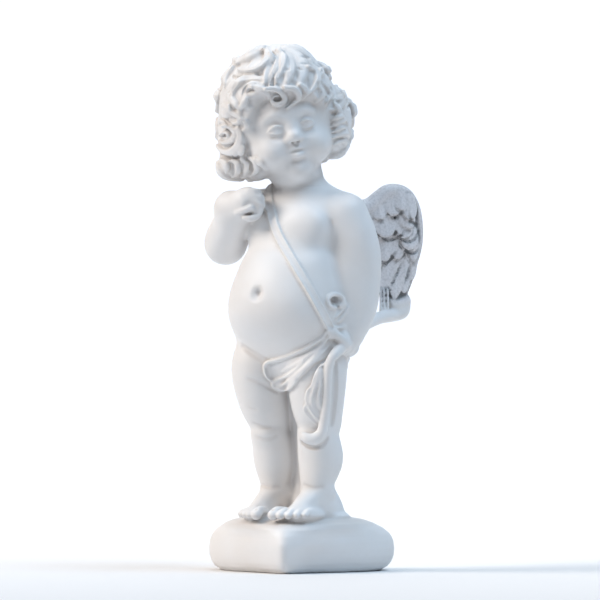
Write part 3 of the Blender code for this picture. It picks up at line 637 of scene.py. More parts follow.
def slit(field, places, size, depth=1.0, soft=1.4):
    """A dark gap between locks."""
    pts = field.fronts(smooth_path(places, max(6, 4 * len(places))) if len(places) > 1 else places)
    if len(pts) == 0:
        return
    nor = field.normal(pts, 2.5)
    pts = pts - nor * (depth - size * 0.3)
    if len(pts) == 1:
        cut(field, ellipsoid(pts[0], (size, size, size)), soft)
        return
    t = np.linspace(0, 1, len(pts))
    cut(field, np.column_stack([pts, size * (0.35 + 0.65 * np.sin(math.pi * t) ** 0.7)]), soft)


def curl(field, across, down, radius, turns=1.2, half=3.0, thick=3.2, start=0.0, spin=1, squash=1.0, ridges=2, groove=0.8, lift=1.4, eye=1.7):
    """A ring curl: a lock wound inwards to a small dark eye."""
    steps = int(18 * turns)
    w = start + spin * np.linspace(0, 2 * math.pi * turns, steps)
    r = radius * np.linspace(1.0, 0.42, steps)
    lock(field, list(zip(across + r * np.cos(w), down + r * np.sin(w) * squash)), half, thick, ridges, groove, lift, count=steps, k=0.7, ends=(0.45, 0.6), swell=0.3)
    slit(field, [(across, down)], eye, 0.8, 1.0)


def hidden_curls(field):
    """Plainer curls over the back and sides of the head."""
    centre = drawn(282, 118, -6)
    golden = math.pi * (3.0 - math.sqrt(5.0))
    total = 92
    for i in range(total):
        z = 1.0 - 1.80 * (i + 0.5) / total
        around = golden * i
        flat = math.sqrt(max(1.0 - z * z, 0.0))
        a, out = flat * math.cos(around), flat * math.sin(around)
        if out > 0.02 + 0.10 * z:
            continue
        n = ACROSS * a + TOWARD * out + UP * z
        n /= np.linalg.norm(n)
        e1 = np.cross(n, np.array([0.3, 0.2, 1.0]))
        e1 /= np.linalg.norm(e1)
        e2 = np.cross(n, e1)
        spin = 1 if i % 2 else -1
        size = 10.5 + 1.8 * math.sin(i * 2.3)
        t = np.linspace(0, 1, 22)[:, None]
        w = i * 1.3 + spin * t * 2 * math.pi * 1.15
        r = size * (1.15 - 0.80 * t)
        ways = n * 60 + e1 * r * np.cos(w) + e2 * r * np.sin(w)
        pts = field.inwards(centre * np.ones((len(ways), 3)), ways, 100.0)
        if len(pts) < 8:
            continue
        away = np.linalg.norm(pts - centre, axis=1)
        first = last = int(np.argsort(away)[len(away) // 2])
        while first > 0 and abs(away[first - 1] - away[first]) < 4.0:
            first -= 1
        while last < len(away) - 1 and abs(away[last + 1] - away[last]) < 4.0:
            last += 1
        pts = pts[first:last + 1]
        if len(pts) < 8 or away[first:last + 1].max() > 72.0 or away[first:last + 1].min() < 30.0:
            continue
        nor = pts - centre
        nor /= np.linalg.norm(nor, axis=1, keepdims=True)
        ribbon(field, pts + nor * 0.8, nor, tapered(len(pts), 4.6, 0.4, 0.5, 0.3), tapered(len(pts), 3.2, 0.6, 0.5, 0.3), 2, 0.9, 0.8)


def top_hair(field):
    # left edge and the sweep that turns over to the left, with the deep hollow beneath it
    add(field, ellipsoid(drawn(247.0, 74.0, -6), (19, 18, 17.5), np.stack([ACROSS, TOWARD, UP])), 6)
    lock(field, [(270, 47), (262, 47), (251, 50), (241, 55), (233, 63)], 5.5, 4.0, 3, 1.0, lift=0.6)
    lock(field, [(236, 58), (227, 67), (221, 78), (218, 90), (217, 102)], 5.2, 4.0, 3, 1.0, lift=0.6)
    lock(field, [(233, 68), (228, 76), (226, 86), (228, 96)], 4.2, 4.2, 2, 1.0, lift=1.4)
    lock(field, [(262, 50), (257, 55), (248, 59.5), (238, 63)], 8.5, 7.0, 3, 0.9, lift=2.4, ends=(0.7, 0.5))
    lock(field, [(263, 51.5), (267.5, 54), (269.0, 60), (265.5, 66.5), (257.5, 71), (247, 72.5), (237, 70.5), (231, 71.5)], 4.5, 6.4, 2, 1.0, lift=2.6, ends=(0.4, 0.5))
    slit(field, [(232, 76.5), (241, 79.5), (251, 79.5), (261, 76)], 2.2, 1.8, 2.2)
    slit(field, [(262, 75.5), (270, 68), (273.5, 60)], 1.2, 0.8, 1.8)
    lock(field, [(264, 81), (254, 80), (245, 81), (238, 85), (234, 92), (234, 99)], 4.6, 4.4, 2, 1.0, lift=1.2)
    lock(field, [(263, 86), (254, 86), (248, 89), (244, 95), (243, 101)], 3.8, 4.0, 2, 0.9, lift=1.2)
    slit(field, [(247.5, 86), (244.5, 91), (243, 96)], 1.5, 1.0, 1.0)
    slit(field, [(248.5, 97), (252.5, 96.5)], 1.3, 0.9, 0.9)
    slit(field, [(237, 83), (233, 90)], 1.1, 0.7, 0.9)
    # strands that fall from the crown to the forehead, then broader waves over the right of the crown
    lock(field, [(286, 49), (296, 50), (306, 56), (313, 67), (314, 79), (309, 91)], 8.5, 3.6, 5, 0.7, lift=0.4)
    lock(field, [(283, 50), (292, 55), (300, 64), (302, 76), (298, 90)], 8.5, 3.6, 5, 0.7, lift=0.6)
    lock(field, [(281, 51), (286.5, 59), (289, 70), (288, 80), (284, 91)], 6.5, 3.8, 4, 0.9, lift=0.6)
    lock(field, [(270, 54), (272.5, 59), (271, 67), (267, 75), (265, 84), (262, 92)], 3.8, 4.0, 2, 1.1, lift=0.8)
    lock(field, [(274, 53), (278, 59), (276, 69), (271, 79), (269, 90)], 3.4, 4.2, 2, 1.1, lift=1.2)
    lock(field, [(279, 52), (284, 59), (282, 70), (277, 80), (275, 90)], 3.8, 4.2, 2, 1.1, lift=1.4)
    lock(field, [(268, 51.5), (275, 50.5), (283, 52)], 4.0, 3.2, 2, 0.5, lift=0.2)
    slit(field, [(274, 63), (270, 71), (267, 79)], 0.9, 0.5, 1.0)
    slit(field, [(279, 60), (279, 68), (277, 74)], 0.9, 0.5, 1.0)
    slit(field, [(301, 57), (310, 58)], 1.1, 0.7, 1.2)
    slit(field, [(300, 64.5), (308, 65)], 0.9, 0.5, 1.0)
    slit(field, [(297, 69), (303, 71)], 1.0, 0.6, 1.0)
    slit(field, [(283, 71), (290, 70)], 0.9, 0.5, 1.2)
    add(field, ellipsoid(drawn(279.0, 58.5, -5), (28, 20, 14.0), np.stack([ACROSS, TOWARD, UP])), 4)
    # uneven edge over the forehead, the ring on it and the pointed tip
    lock(field, [(243, 103), (248, 98), (254, 95.5), (261, 94)], 3.4, 3.6, 2, 0.6, lift=0.8, ends=(0.6, 0.7))
    lock(field, [(252, 88), (260, 90), (267, 94), (270, 99)], 3.4, 3.8, 2, 0.8, lift=1.0, ends=(0.6, 0.5))
    lock(field, [(266, 90.5), (273, 90), (280, 91.5), (284.5, 96.5), (284, 102.5), (279, 105.5), (273.5, 104), (271.5, 99.5), (274, 95.8), (278, 96)],
         2.9, 4.2, 2, 0.6, lift=2.4, count=40, ends=(0.7, 0.5), swell=0.2, k=0.9)
    slit(field, [(277.3, 99.5)], 2.1, 0.2, 1.0)
    lock(field, [(285, 89), (293, 90), (298, 94), (298, 99), (293, 104), (287, 109)], 3.2, 4.4, 2, 0.8, lift=2.0, ends=(0.7, 0.3))
    slit(field, [(287, 93), (291, 94.5), (293, 97)], 1.4, 0.5, 1.0)
    lock(field, [(300, 86), (305, 91), (304, 97), (298, 102)], 3.2, 3.8, 2, 0.8, lift=1.2, ends=(0.7, 0.3))


def right_hair(field):
    for places, half, thick, lift in (
        ([(311, 54), (318, 61), (321, 70), (318, 79)], 4.0, 3.6, 1.0),
        ([(308, 68), (315, 73), (317, 81), (313, 89), (307, 95)], 3.8, 4.0, 1.6),
        ([(317, 63), (325, 69), (328, 77), (325, 86)], 4.0, 3.8, 1.2),
        ([(325, 68), (333, 73), (337, 81), (334, 89)], 3.8, 3.8, 1.2),
        ([(315, 86), (320, 90), (321, 97), (316, 102)], 3.4, 3.8, 1.4),
        ([(322, 84), (328, 89), (330, 96), (326, 103)], 3.6, 3.8, 1.6),
        ([(331, 82), (339, 86), (343, 93), (340, 99), (333, 101)], 3.2, 4.0, 2.0),
        ([(343, 93), (343, 101), (338, 108), (331, 111)], 3.4, 4.0, 2.2),
        ([(341, 86), (348, 92), (352, 99), (349, 106), (343, 108)], 3.4, 3.8, 1.6),
        ([(350, 103), (354, 110), (352, 117), (345, 119)], 3.4, 3.8, 1.6),
        ([(334, 104), (339, 111), (337, 117), (331, 118)], 3.0, 3.4, 1.6),
        ([(352, 114), (356, 122), (356, 132), (353, 143), (347, 152), (339, 159), (331, 165)], 4.6, 4.6, 0.8),
        ([(327, 158), (334, 156), (342, 152), (348, 146)], 4.2, 4.0, 1.0),
        ([(325, 167), (331, 162), (338, 158)], 4.0, 3.6, 0.6),
    ):
        lock(field, places, half, thick, 2, 0.9, lift=lift, ends=(0.6, 0.4))
    for a0, u0, a1, u1, half in ((331.5, 121, 345, 117.5, 2.6), (331.5, 126.5, 347, 122, 2.9), (332, 132.5, 346, 128.5, 2.6), (332, 138, 349, 134.5, 3.0), (333, 144.5, 347, 141.5, 2.8)):
        lock(field, [(a0, u0), (a0 + 5, u0 - 2.8), (a1 - 3.5, u1 - 1.0), (a1, u1 + 1.8)], half, 2.9, 1, 0.5, lift=1.0, ends=(0.5, 0.6), k=0.8)
    for places, size in (([(322, 71)], 1.4), ([(329.5, 80), (333, 78)], 1.2), ([(331, 87), (332, 91)], 1.5), ([(343, 92), (344, 99)], 1.2), ([(346, 101), (351, 99)], 1.0),
                         ([(308, 79), (309, 90)], 1.3), ([(318, 82), (318, 88)], 1.1), ([(347, 109), (350, 105)], 1.1), ([(346, 122), (348, 126)], 1.4),
                         ([(326, 98)], 1.1), ([(337, 94)], 1.2), ([(321, 93)], 1.1)):
        slit(field, places, size, 0.9, 1.1)


def left_hair(field):
    for places, half, thick, lift, ridges in (
        ([(216, 99), (222, 106), (230, 109), (238, 106)], 4.6, 4.0, 1.0, 3),
        ([(216, 107), (223, 114), (232, 116)], 4.2, 3.8, 1.0, 2),
        ([(229, 96), (234, 102), (239, 108), (241, 115)], 3.6, 3.8, 1.2, 2),
        ([(247, 99), (244, 105), (240, 110)], 3.2, 3.6, 1.0, 2),
        ([(230, 106), (231, 111), (235, 114), (240, 117), (240, 122), (235, 124), (231, 121)], 2.9, 3.8, 1.8, 2),
        ([(214, 113), (219, 119), (226, 123), (231, 128)], 3.8, 4.0, 1.4, 2),
        ([(241, 119), (246, 122), (248, 127), (244, 131)], 2.8, 3.4, 1.0, 2),
        ([(216, 135), (219, 129), (226, 126), (234, 129), (237, 134), (234, 140), (226, 143), (221, 141)], 3.4, 4.6, 2.8, 2),
        ([(222, 136), (227, 132), (231, 135), (229, 138.5), (225, 139)], 2.6, 3.8, 3.0, 1),
        ([(239, 129), (242, 137), (240, 146), (232, 152), (223, 150.5), (217, 143), (215, 134)], 4.8, 5.4, 2.2, 2),
        ([(243, 147), (241, 153), (235, 155)], 3.4, 4.0, 1.6, 1),
        ([(218, 160), (220, 168), (226, 175), (236, 179), (247, 178)], 5.4, 5.0, 1.0, 2),
        ([(222, 160), (228, 165), (227, 172)], 3.8, 4.2, 2.0, 2),
        ([(232, 160), (239, 164), (238, 172), (233, 176)], 3.8, 4.2, 2.0, 2),
        ([(242, 158), (248, 164), (247, 172), (243, 177)], 3.8, 4.2, 2.0, 2),
        ([(250, 157), (257, 162), (257, 170), (252, 176)], 3.8, 4.2, 1.4, 2),
        ([(256, 160), (264, 165), (266, 173), (262, 180)], 3.8, 4.2, 1.2, 2),
        ([(248, 178), (256, 182), (264, 182)], 3.6, 3.8, 0.8, 2),
    ):
        lock(field, places, half, thick, ridges, 0.9, lift=lift, ends=(0.6, 0.45))
    slit(field, [(221, 118), (226, 121), (229, 126)], 1.2, 0.8, 1.0)
    slit(field, [(236, 119)], 2.0, 0.7, 1.0)
    slit(field, [(232, 133.5), (233, 137)], 1.0, 0.7, 0.8)
    slit(field, [(221, 155), (230, 158), (241, 157)], 1.7, 1.4, 1.8)
    slit(field, [(217, 125), (222, 124)], 1.2, 0.9, 1.0)
    slit(field, [(231, 165), (232, 171)], 1.1, 0.8, 1.0)
    slit(field, [(241, 164), (242, 171)], 1.1, 0.8, 1.0)
    slit(field, [(247, 160)], 1.3, 0.8, 1.0)
    slit(field, [(251, 165), (251, 171)], 1.1, 0.8, 1.0)


# ---------------------------------------------------------------- wings
def wings(field):
    for side in (1, -1):
        out = np.array([side * math.cos(WING_TURN), math.sin(WING_TURN), 0.0])
        face = np.array([side * math.sin(WING_TURN), -math.cos(WING_TURN), 0.0])
        root = np.array([side * 20.0, 35.0, 0.0])

        def flat(across, down):
            """Along and up the wing's own plane, from the place on the drawing plane."""
            return (across - 335.5) / 0.94 * 0.985, 571.0 - down

        def at(across, down, lift=0.0):
            u, up = flat(across, down)
            return root + out * u + face * lift + UP * up

        outline = smooth_path([flat(*q) for q in ((331, 246), (342, 222), (356, 207), (367, 202), (375, 197.5), (381, 190), (386, 185.5), (394, 183.8), (403, 185),
                                                  (410.5, 189), (416, 196), (420, 204), (423, 214), (424.8, 228), (424.4, 243), (422, 256), (418, 268), (414.8, 280),
                                                  (411, 290), (407, 297.5), (399, 301), (390, 301), (383, 297), (377, 290), (366, 286), (352, 284), (340, 274), (331, 262))], 90)
        closed = np.vstack([outline, outline[:1]])

        def web(p):
            q = p - root
            u, up, lift = q @ out, q[:, 2], q @ face
            best = np.full(len(p), 1e9)
            inside = np.zeros(len(p), bool)
            for a, b in zip(closed[:-1], closed[1:]):
                ab = b - a
                t = np.clip(((u - a[0]) * ab[0] + (up - a[1]) * ab[1]) / (ab @ ab + 1e-9), 0, 1)
                best = np.minimum(best, (u - a[0] - t * ab[0]) ** 2 + (up - a[1] - t * ab[1]) ** 2)
                crosses = (a[1] > up) != (b[1] > up)
                xs = a[0] + (up - a[1]) / (ab[1] if abs(ab[1]) > 1e-9 else 1e-9) * ab[0]
                inside ^= crosses & (u < xs)
            edge = np.sqrt(best) * np.where(inside, -1, 1)
            thick = 1.9 + 3.5 * step(-u, -40, 0)
            return smooth_max(edge, np.abs(lift) - thick, 2.0)

        lo = np.min([at(a, d, l) for a in (330, 427) for d in (180, 304) for l in (-9, 9)], 0)
        hi = np.max([at(a, d, l) for a in (330, 427) for d in (180, 304) for l in (-9, 9)], 0)
        field.shape(lo, hi, None, lambda p, d: smooth_min(d, web(p), 2.0))

        def feather(a0, d0, a1, d1, half, thick, lift0, lift1, dirs, barb=0.5):
            """One feather: a rounded tongue with a central quill and slanting barbs, its free end standing proud."""
            a, b = at(a0, d0, lift0 * dirs), at(a1, d1, lift1 * dirs)
            length = np.linalg.norm(b - a)
            t = (b - a) / length
            n = face * dirs
            n = n - (n @ t) * t
            n /= np.linalg.norm(n)
            w = np.cross(t, n)

            def distance(p):
                q = p - a
                s, across_, rise = q @ t, q @ w, q @ n
                f = np.clip(s / length, 0, 1)
                width = half * np.sqrt(np.clip(1 - np.clip((f - 0.5) / 0.5, 0, 1) ** 2.2, 0.0, 1)) * (0.74 + 0.26 * np.minimum(f / 0.4, 1))
                width = np.maximum(width, 0.3)
                over = np.maximum(s - length, 0) + np.maximum(-s, 0)
                dome = thick * np.sqrt(np.clip(1 - (across_ / (half * 1.15)) ** 2, 0.05, 1))
                quill = 0.55 * np.exp(-(across_ / 0.9) ** 2) * (f < 0.93)
                slant = np.cos((s * 0.8 - np.abs(across_) * 0.95) * 2 * math.pi / 3.6)
                rib = barb * (0.5 - 0.5 * slant) * np.clip(np.abs(across_) / 1.5, 0, 1)
                top = rise - dome - quill + rib
                edge = np.abs(across_) - width
                edge = np.where(over > 0, np.hypot(np.maximum(edge, 0), over), edge)
                return smooth_max(smooth_max(edge, top, 1.0), -rise - 3.2, 0.7)

            pts = np.array([a, b])
            r = half + thick + 3
            field.shape(pts.min(0) - r, pts.max(0) + r, None, lambda p, d: smooth_min(d, distance(p), 0.4))

        for dirs in (1, -1):
            for a0, d0, a1, d1, half, thick, lift0, lift1, barb in (
                # long feathers
                (350, 240, 351, 283, 8.0, 1.8, 0.4, 1.6, 0.7), (364, 238, 363, 288, 8.5, 1.8, 0.5, 1.7, 0.7), (377, 240, 377, 293, 8.5, 1.8, 0.6, 1.8, 0.7),
                (415, 240, 412, 281, 6.0, 1.8, 0.5, 1.6, 0.7), (407, 246, 404, 294, 7.8, 1.9, 0.6, 2.2, 0.7), (388, 244, 386, 297, 7.0, 1.9, 0.6, 2.0, 0.7),
                (398, 246, 394, 299.5, 9.0, 2.0, 0.8, 3.0, 0.8),
                # the layer over them
                (345, 222, 345, 262, 8.0, 1.9, 1.6, 3.0, 0.6), (358, 216, 357, 267, 8.6, 1.9, 1.7, 3.1, 0.6), (371, 222, 371, 265, 8.8, 1.9, 1.8, 3.2, 0.6),
                (415, 228, 414, 263, 5.5, 1.8, 1.6, 2.6, 0.5), (385, 228, 384, 262, 9.2, 1.9, 1.9, 3.3, 0.6), (398, 232, 397, 260, 8.2, 1.9, 1.9, 3.3, 0.6),
                # broad rounded scales, each over the one before
                (352, 212, 351, 240, 8.6, 2.2, 3.0, 4.6, 0.3), (408, 224, 409.5, 250, 10.2, 2.4, 3.0, 5.2, 0.25), (366, 206, 367, 236, 10.0, 2.3, 3.1, 4.8, 0.3),
                (381, 210, 386, 237.5, 12.0, 2.4, 3.2, 5.4, 0.3), (402, 214, 404, 238.5, 9.4, 2.4, 3.8, 6.0, 0.25), (405, 206, 407.5, 229.5, 9.0, 2.3, 4.4, 6.6, 0.25),
                (407, 194, 409, 220, 8.6, 2.6, 4.4, 7.2, 0.2), (391, 196, 393, 216, 9.0, 2.2, 4.0, 5.8, 0.2), (377, 202, 379, 220, 8.5, 2.0, 4.0, 5.4, 0.2), (399, 192, 400, 211, 7.0, 2.4, 4.6, 6.4, 0.1),
            ):
                feather(a0, d0, a1, d1, half, thick * 1.15, lift0 * 0.9, lift1 * 1.25, dirs, barb)
        # grooves where one row of feathers tucks under the next
        for dirs in (1, -1):
            for line in (((380, 237), (388, 240), (395, 238.5), (401, 234), (404, 226)), ((406.5, 212), (409, 220), (416, 224.5), (421, 220)),
                         ((399, 238), (406, 241.5), (413, 240), (419, 232), (421, 224)), ((405, 249), (411, 253), (417, 252), (422, 244)),
                         ((397, 250), (391, 258), (385, 266)), ((403, 262), (397, 274), (390, 287)), ((411, 264), (408, 276), (404, 286)),
                         ((388, 296), (394, 300), (401, 299), (406, 294)), ((366, 236), (372, 238), (378, 235)), ((352, 241), (358, 243), (363, 240)),
                         ((371, 266), (366, 272), (360, 280)), ((384, 262), (379, 272), (374, 284))):
                course = smooth_path(line, 14)
                met = field.inwards([at(a, d) for a, d in course], np.tile(face * dirs, (len(course), 1)), 16.0)
                if len(met) > 4:
                    t = np.linspace(0, 1, len(met))
                    cut(field, np.column_stack([met, 0.5 + 0.8 * np.sin(math.pi * t) ** 0.7]), 0.8)
        # the thick leading edge rolls over the top and thins down the outer side
        add(field, chain([at(336, 242), at(346, 218), at(358, 210), at(370, 206), at(380, 197.5), at(388, 192), at(399, 191), at(409, 195), at(416, 203.5), at(420, 214), at(421.8, 228), at(421.3, 243), at(418.8, 256)],
                         [13, 11.0, 9.5, 8.4, 7.6, 7.4, 6.8, 5.8, 4.4, 3.4, 2.8, 2.6, 1.6], 60), 2.0)


# ---------------------------------------------------------------- strap, cloth and bow
def strap(field):
    front = [(271, 186), (269, 194), (270, 203), (274, 222), (282, 242), (296, 267), (310, 291), (321, 311), (331, 330)]
    path = smooth_path(front, 46)
    pts = field.fronts(path)
    behind = [(50, 30, 247), (34, 52, 266), (8, 56, 302), (-14, 52, 336), (-27, 36, 366), (-30, 14, 388)]
    back = field.inwards([(x * 0.35, 4, z if z < 380 else 366) for x, y, z in behind], [(x, y - 4, 0.0 if z < 380 else 34.0) for x, y, z in behind], 130)
    loop = smooth_path(np.vstack([pts[-1:], back, pts[:1]]), 70)[1:-1]
    whole = np.vstack([pts, loop])
    n = len(whole)
    for _ in range(6):
        whole = whole - field.normal(whole) * field.sample(whole)[:, None] * 0.9
    nor = field.normal(whole, 3.0)
    closed = np.vstack([whole, whole[:1]])
    tan = np.roll(whole, -1, 0) - np.roll(whole, 1, 0)
    tan /= np.linalg.norm(tan, axis=1, keepdims=True)
    bi = np.cross(tan, nor)
    bi /= np.linalg.norm(bi, axis=1, keepdims=True)

    def action(p, d):
        best = np.full(len(p), 1e9)
        side = np.zeros(len(p))
        for i in range(n):
            ab = closed[i + 1] - closed[i]
            t = np.clip((p - closed[i]) @ ab / (ab @ ab + 1e-9), 0, 1)
            q = p - closed[i] - t[:, None] * ab
            dd = (q * q).sum(1)
            m = dd < best
            best[m] = dd[m]
            side[m] = (q[m] @ bi[i])
        far = np.sqrt(np.maximum(best, 0))
        s = np.abs(side)
        level = 1.9 + 1.1 * np.exp(-((s - 3.6) / 0.9) ** 2)
        shell = smooth_max(s - 4.7, d - level, 0.8)
        shell = np.where(far < 9.0, shell, 1e3)
        return smooth_min(d, shell, 0.5)

    field.shape(whole.min(0) - 9, whole.max(0) + 9, (-4.0, 6.0), action)


def polygon_distance(points):
    closed = np.vstack([points, points[:1]])

    def distance(x, y):
        best = np.full(len(x), 1e9)
        inside = np.zeros(len(x), bool)
        for a, b in zip(closed[:-1], closed[1:]):
            ab = b - a
            t = np.clip(((x - a[0]) * ab[0] + (y - a[1]) * ab[1]) / (ab @ ab + 1e-9), 0, 1)
            best = np.minimum(best, (x - a[0] - t * ab[0]) ** 2 + (y - a[1] - t * ab[1]) ** 2)
            crosses = (a[1] > y) != (b[1] > y)
            xs = a[0] + (y - a[1]) / (ab[1] if abs(ab[1]) > 1e-9 else 1e-9) * ab[0]
            inside ^= crosses & (x < xs)
        return np.sqrt(best) * np.where(inside, -1, 1)

    return distance


def plane_places(p):
    """Where points fall on the drawing plane."""
    return 300.0 + p @ ACROSS, 571.0 - p[:, 2], p @ TOWARD


def welt(field, places, radius, lift=0.8, k=1.8, ends=0.5):
    """A rounded ridge lying on the skin through places on the drawing plane."""
    pts = field.fronts(smooth_path(places, 5 * len(places)))
    depth = pts @ TOWARD
    soft = depth.copy()
    for _ in range(5):
        soft[1:-1] = np.maximum(soft[1:-1], 0.5 * (soft[:-2] + soft[2:]))
    pts = pts + TOWARD * (soft - depth)[:, None]
    nor = field.normal(pts, 3.0)
    t = np.linspace(0, 1, len(pts))
    add(field, np.column_stack([pts + nor * (lift - radius * 0.45), radius * (ends + (1 - ends) * np.sin(math.pi * t) ** 0.5)]), k)


def sheet(field, edge, level, nearest, lo, hi):
    """A thin layer laid on the skin inside an outline on the drawing plane."""
    distance = polygon_distance(smooth_path(edge, 90))

    def action(p, d):
        a, u, depth = plane_places(p)
        shell = smooth_max(distance(a, u), d - level, 0.8)
        return smooth_min(d, np.where(depth > nearest, shell, 1e3), 0.6)

    field.shape(np.minimum(lo, hi), np.maximum(lo, hi), (-6.0, 7.0), action)


def cloth(field):
    """The loincloth: a fan of folds from the left hip over the lap."""
    sheet(field, [(333, 327), (322, 337), (308, 346), (295, 352.5), (283, 357.5), (268, 360.5), (264, 364), (264, 371), (267, 377), (271, 381), (272, 386), (276, 388.5),
                  (284, 391), (291, 387.5), (298, 379.5), (306, 371), (315, 363.5), (325, 357.5), (336, 347), (339, 333)], 2.0, 8.0, drawn(262, 400, 0) - 45, drawn(344, 318, 60) + 45)
    add(field, ellipsoid(field.front(281.5, 380.5) - TOWARD * 4.5, (7.5, 7.5, 9.5)), 5)
    cut_line = [(320, 342), (306, 351), (292, 356.5), (279, 361.5), (270, 364.5)]
    pts = field.fronts(smooth_path(cut_line, 20))
    cut(field, np.column_stack([pts, np.full(len(pts), 1.1)]), 1.8)
    welt(field, [(329, 328), (320, 337.5), (309, 345.5), (297, 351.8), (285, 356.6), (274, 360), (267, 361.4)], 1.7, 0.9, 1.8, 0.7)
    welt(field, [(268, 361.5), (265, 364.5), (264.6, 370), (267, 376), (271, 380)], 1.5, 0.8, 1.2, 0.8)
    welt(field, [(315, 350), (304, 358.5), (293, 365), (282, 371)], 1.5, 0.6)
    welt(field, [(329, 335.5), (322, 345), (314, 356), (305, 365.5), (297, 373), (289, 380), (281, 385.5)], 1.8, 0.9, 1.8)
    welt(field, [(303, 361.5), (297, 367.5), (290, 373.3), (282, 377.6), (275, 380.4), (272.6, 384), (274.5, 387.0), (279.5, 387.0)], 1.6, 0.8, 1.5, 0.7)
    welt(field, [(322, 350), (311, 361), (302, 370), (295, 378.5), (289, 385)], 1.4, 0.7)
    welt(field, [(331, 341), (323, 351.5), (314, 360.5), (306, 368.5), (299, 376.5)], 1.4, 0.6)
    welt(field, [(278, 388), (284, 389.8), (290, 387.5), (296, 381.5)], 1.1, 0.4)


def tail(field):
    """The cloth's free end, hanging in soft flutes between the thigh and the bow."""
    sheet(field, [(326, 360), (318, 367), (314.5, 374), (312, 383), (307.5, 389), (305.5, 396), (306, 402), (303.5, 408), (307, 414), (312, 419.5), (317, 424),
                  (323, 427), (328, 418), (329, 400), (331, 380), (332, 364)], 4.6, 18.0, drawn(300, 432, 10) - 45, drawn(334, 358, 70) + 45)
    welt(field, [(321, 364), (316, 372), (313.5, 379), (311.5, 385), (307.5, 390), (306, 396), (306.5, 402), (304.3, 408), (307.5, 414), (312.5, 419.5), (317, 423.5)], 1.4, 0.7, 1.7, 0.8)
    welt(field, [(318.5, 370), (316, 382), (312.5, 393), (312, 402), (316, 410), (320, 415)], 1.8, 1.4)
    welt(field, [(307.5, 403), (311, 409), (316, 415.5), (320, 420)], 1.6, 1.2, 1.6)
    welt(field, [(321, 368), (320, 384), (318, 396), (320, 406)], 1.8, 1.4)


def back_cloth(field):
    """The cloth goes on round the hip and across the seat, plainer."""
    def action(p, d):
        x, y, z = p[:, 0], p[:, 1], p[:, 2]
        turn = np.degrees(np.arctan2(y + 4, x))
        t = (turn % 360.0)
        # from the left hip round the back to the right hip
        span = step(t, 8, 30) * (1 - step(t, 196, 214))
        top = 246.0 - 0.03 * np.maximum(t - 30, 0)
        low = 196.0 + 0.14 * np.maximum(t - 30, 0) + 2.0 * np.sin(np.radians(t * 7))
        inside = np.maximum(z - top, low - z)
        folds = np.cos(np.radians((z + 0.22 * t) * 360 / 9.5))
        level = (1.0 + 0.9 * (0.5 + 0.5 * folds)) * span + 0.9 * np.exp(-((inside + 2.0) / 1.5) ** 2) * span
        shell = smooth_max(inside, d - level, 0.8)
        shell = np.where(span > 0.03, shell, 1e3)
        return smooth_min(d, shell, 0.5)

    field.shape((-75, -30, 184), (75, 60, 256), (-6.0, 8.0), action)


def knot(field):
    """The rolled loop at the left hip, with its dark hollow, and the two folds that run down from it to the strap."""
    ring = field.fronts([(335.0 + 7.8 * math.cos(w), 300.5 + 6.6 * math.sin(w)) for w in np.linspace(0.9, -4.7, 19)]) + TOWARD * 1.2
    hole = field.front(335.5, 301)
    cut(field, ellipsoid(hole + TOWARD * 0.8, (6.0, 6.0, 6.0)), 2.0)
    slit(field, [(334, 299)], 3.0, 1.6, 2.0)
    add(field, np.column_stack([smooth_path(ring, 60), np.linspace(2.5, 1.8, 60)]), 1.4)
    welt(field, [(345, 303.5), (341, 310), (335, 317)], 1.6, 1.0, 1.2, 0.8)
    welt(field, [(347.5, 307), (343.5, 314), (338, 321)], 1.7, 1.0, 1.2, 0.8)


def bow(field):
    path = [drawn(404.5, 298, -48), drawn(405, 306, -48), drawn(402, 312.5, -45), drawn(392, 315.5, -36), drawn(378, 318.5, -10), drawn(362, 327, 18),
            drawn(350, 338, 40), drawn(341, 347, 54), drawn(333.5, 355, 64.5), drawn(328.5, 366, 65.5), drawn(327, 384, 62.5), drawn(326, 404, 58), drawn(323.5, 422, 54),
            drawn(321, 432, 53), drawn(314, 437.5, 53), drawn(307, 437, 52), drawn(303.5, 434, 50.5)]
    radii = [4.6, 6.2, 7.0, 6.8, 6.2, 5.6, 5.3, 5.6, 5.2, 4.9, 4.7, 4.7, 4.8, 5.6, 5.8, 5.2, 3.6]
    add(field, chain(path, radii, 110), 0.8)
    slit(field, [(336.0, 360), (335.5, 376), (335.0, 394), (333.5, 410), (332, 424)], 3.0, 1.4, 3.4)
    slit(field, [(302, 441), (309, 445.5), (317, 446.3), (324.5, 442.5), (328.5, 436)], 2.0, 1.2, 2.2)
    # the twist that joins the strap's end to the root of the bow
    start, stop = field.front(333.5, 331.5) - TOWARD * 2.5, field.front(347.0, 344.0) - TOWARD * 2.5
    add(field, chain([start, (start + stop) / 2, stop], [3.2, 4.4, 3.6], 14), 3.0)
    add(field, chain([drawn(387.5, 302, -37), drawn(396, 305, -41), drawn(405, 301, -46)], [5.0, 6.8, 6.4], 16), 2.5)
    for a in (380.8, 384.2, 387.8):
        add(field, chain([drawn(a, 290, -32), drawn(a + 0.4, 302, -29), drawn(a + 0.2, 313, -26)], [1.5, 1.5, 1.7], 14), 0.6)


def build(cell):
    field = Field((-112, -106, -3), (96, 124, 534), cell)
    for stage in (base, torso, legs, support, feet, back_cloth, creases, strap, left_arm, right_arm, wings, cloth, tail, bow, knot, hair_masses, strands, head, hidden_curls, top_hair, right_hair, left_hair):
        begun = time.time()
        stage(field)
        print(stage.__name__, round(time.time() - begun, 1))
    field.shape(field.lo, (200, 200, 4), None, lambda p, d: np.maximum(d, -p[:, 2]))
    return field


